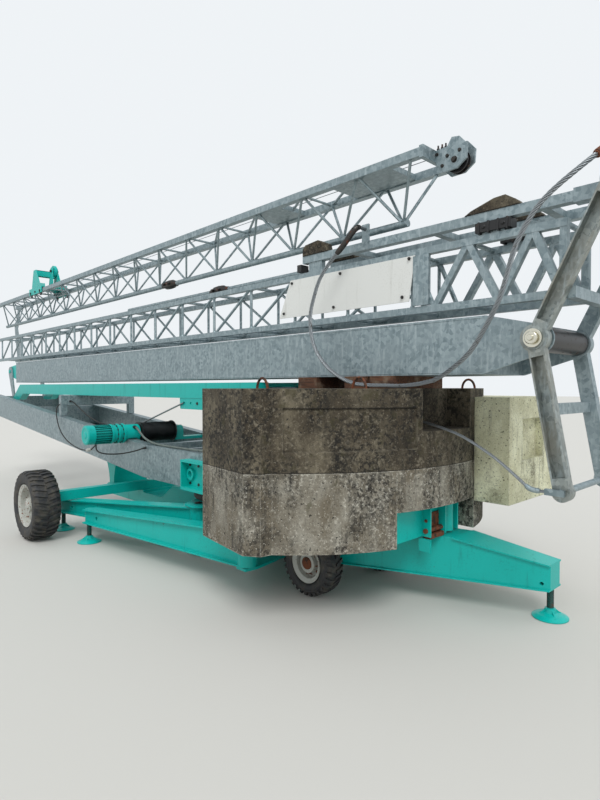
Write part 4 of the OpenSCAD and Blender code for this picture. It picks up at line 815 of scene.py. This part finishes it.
# heads of the arm pins
armPins = {"arm_near_right": [(2.965, -0.72)], "arm_far_right": [(2.965, 0.72)],
    "chassis": [(2.005, -0.52), (2.005, 0.52)]}
pinHead = {"z": 0.485, "nipple": 0.008, "tall": 0.0095}
dome = [(0.0, 0.007), (0.03, 0.007), (0.036, 0.004), (0.036, -0.001)]
for body, places in armPins.items():
    shape = Shape()
    for x, y in places:
        z = pinHead["z"]
        shape.lathe(dome, (x, y, z), (0, 0, 1), 28)
        shape.rod((x, y, z), (x, y, z + pinHead["tall"]), pinHead["nipple"], 10)
    place(shape, "pin_heads_" + body, "dark_steel", body)

# rusty hinge between the carrier's plates, over the front leg
hinge = {"left": 4.0605, "right": 4.116, "near": -0.0445, "far": 0.13, "low": 0.489, "top": 0.655,
    "wall": 0.012, "foot": 0.03, "pinX": 4.09, "pinZ": 0.545, "pinFrom": -0.07, "pinTo": 0.15, "pin": 0.017,
    "bolts": (0.545, 0.615), "boltAt": -0.057, "bolt": 0.012}
low = (hinge["left"], hinge["near"], hinge["low"])
x, z = hinge["pinX"], hinge["pinZ"]
shape = Shape()
shape.box(low, (hinge["left"] + hinge["wall"], hinge["far"], hinge["top"]))
shape.box(low, (hinge["right"], hinge["far"], hinge["low"] + hinge["foot"]))
shape.rod((x, hinge["pinFrom"], z), (x, hinge["pinTo"], z), hinge["pin"], 20)
for z in hinge["bolts"]:
    shape.bolt((x, hinge["boltAt"], z), (0, -1, 0), hinge["bolt"])
place(shape, "hinge_block", "rusty_steel", "platform", bevel=0.002)

# lifting loops cast into the ballast
loops = {"places": [(3.3, -0.85), (3.3, 0.85), (3.95, -0.6), (3.95, 0.75)], "z": 1.515, "half": 0.055,
    "tall": 0.075, "bar": 0.009}
shape = Shape()
for x, y in loops["places"]:
    path = []
    for k in range(13):
        turn = math.pi * k / 12
        path.append((x + math.cos(turn) * loops["half"], y, loops["z"] + math.sin(turn) * loops["tall"]))
    shape.tube(path, loops["bar"], 10)
place(shape, "lifting_loops", "rusty_steel", "platform")

# nuts, cap and valve of each wheel, and the rear brake drums; a seat is a share of the tyre's width
wheelEnd = {"nuts": 6, "nut": 0.014, "nutSeat": 0.06, "capSeat": 0.34, "valve": 0.004, "valveIn": 0.03,
    "valveFrom": 0.01, "valveTo": 0.06}
capEdge = [(0.0, 0.02), (0.03, 0.018), (0.044, 0.008), (0.046, -0.001)]
drumEdge = [(0.03, -0.054), (0.122, -0.054), (0.128, -0.06), (0.128, -0.112), (0.122, -0.116),
    (0.13, -0.12), (0.13, -0.14), (0.03, -0.141)]
for tyre, where in ((rearTyre, "rear"), (frontTyre, "front")):
    x, r, nuts = tyre["x"], tyre["across"] / 2, tyre["nuts"]
    look = "rim_paint" if where == "rear" else "rusty_steel"
    for side, far in ((-1, "near"), (1, "far")):
        shape = Shape()
        seat = tyre["y"] + tyre["width"] * wheelEnd["nutSeat"]
        for k in range(wheelEnd["nuts"]):
            turn = 2 * math.pi * k / wheelEnd["nuts"] + 0.3
            at = (x + math.cos(turn) * nuts, side * seat, r + math.sin(turn) * nuts)
            shape.bolt(at, (0, side, 0), wheelEnd["nut"])
        cap = (x, side * (tyre["y"] + tyre["width"] * wheelEnd["capSeat"]), r)
        shape.lathe(capEdge, cap, (0, side, 0), 32)
        stem = x + tyre["rim"] / 2 - wheelEnd["valveIn"]
        start = (stem, side * (seat + wheelEnd["valveFrom"]), r)
        shape.rod(start, (stem, side * (seat + wheelEnd["valveTo"]), r), wheelEnd["valve"], 8)
        place(shape, "wheel_nuts_" + where + "_" + far, look, "wheel_" + where + "_" + far)
        if where == "rear":
            shape = Shape()
            shape.lathe(drumEdge, (x, side * tyre["y"], r), (0, side, 0), 48)
            place(shape, "brake_drum_" + far, "dark_steel", "chassis")
print("details: winch, ring, jacks, wheels and ballast")

# hoist rope running off the drum up to the strut's plate, and plugs on the hanging cable
drumLead = {"from": (0.602, -0.31, 1.138), "to": (1.42, -0.31, 1.37), "radius": 0.008}
plugHalves = (((0.03, -0.705, 0.812), (0.13, -0.721, 0.828), 0.019),
    ((0.125, -0.72, 0.827), (0.2, -0.733, 0.84), 0.016))
shape = Shape()
shape.rod(drumLead["from"], drumLead["to"], drumLead["radius"], 12)
place(shape, "drum_lead", "wire_rope", "platform")
shape = Shape()
for start, end, radius in plugHalves:
    shape.rod(start, end, radius, 18)
place(shape, "cable_plugs", "rim_paint", "platform")


# floor, light and render settings
studio = {"floor": "#C9C7C1", "sky": "#E9EDF0", "skyPower": 1.06, "sunPower": 1.5, "sunSpread": 24,
    "sunFrom": (0.62, -0.58, 0.95)}
floor = bpy.data.objects.new("floor", bpy.data.meshes.new("floor"))
corners = [(x, y, -0.002) for x, y in ((-90, -90), (90, -90), (90, 90), (-90, 90))]
floor.data.from_pydata(corners, [], [[0, 1, 2, 3]])
bpy.context.scene.collection.objects.link(floor)
ground = bpy.data.materials.new("pale floor")
ground.use_nodes = True
ground.node_tree.nodes["Principled BSDF"].inputs["Base Color"].default_value = linear(studio["floor"])
ground.node_tree.nodes["Principled BSDF"].inputs["Roughness"].default_value = 0.9
floor.data.materials.append(ground)

world = bpy.data.worlds.new("studio")
world.use_nodes = True
world.node_tree.nodes["Background"].inputs[0].default_value = linear(studio["sky"])
world.node_tree.nodes["Background"].inputs[1].default_value = studio["skyPower"]
bpy.context.scene.world = world
sun = bpy.data.objects.new("softbox", bpy.data.lights.new("softbox", "SUN"))
sun.data.energy = studio["sunPower"]
sun.data.angle = math.radians(studio["sunSpread"])
sun.rotation_euler = Vector(studio["sunFrom"]).to_track_quat("Z", "Y").to_euler()
bpy.context.scene.collection.objects.link(sun)

scene = bpy.context.scene
scene.render.engine = "CYCLES"
scene.cycles.samples = 160
scene.cycles.use_denoising = True
scene.cycles.max_bounces = 6
scene.view_settings.view_transform = "Standard"
scene.render.resolution_x, scene.render.resolution_y = 600, 800
print("studio: floor, sky and soft sun")
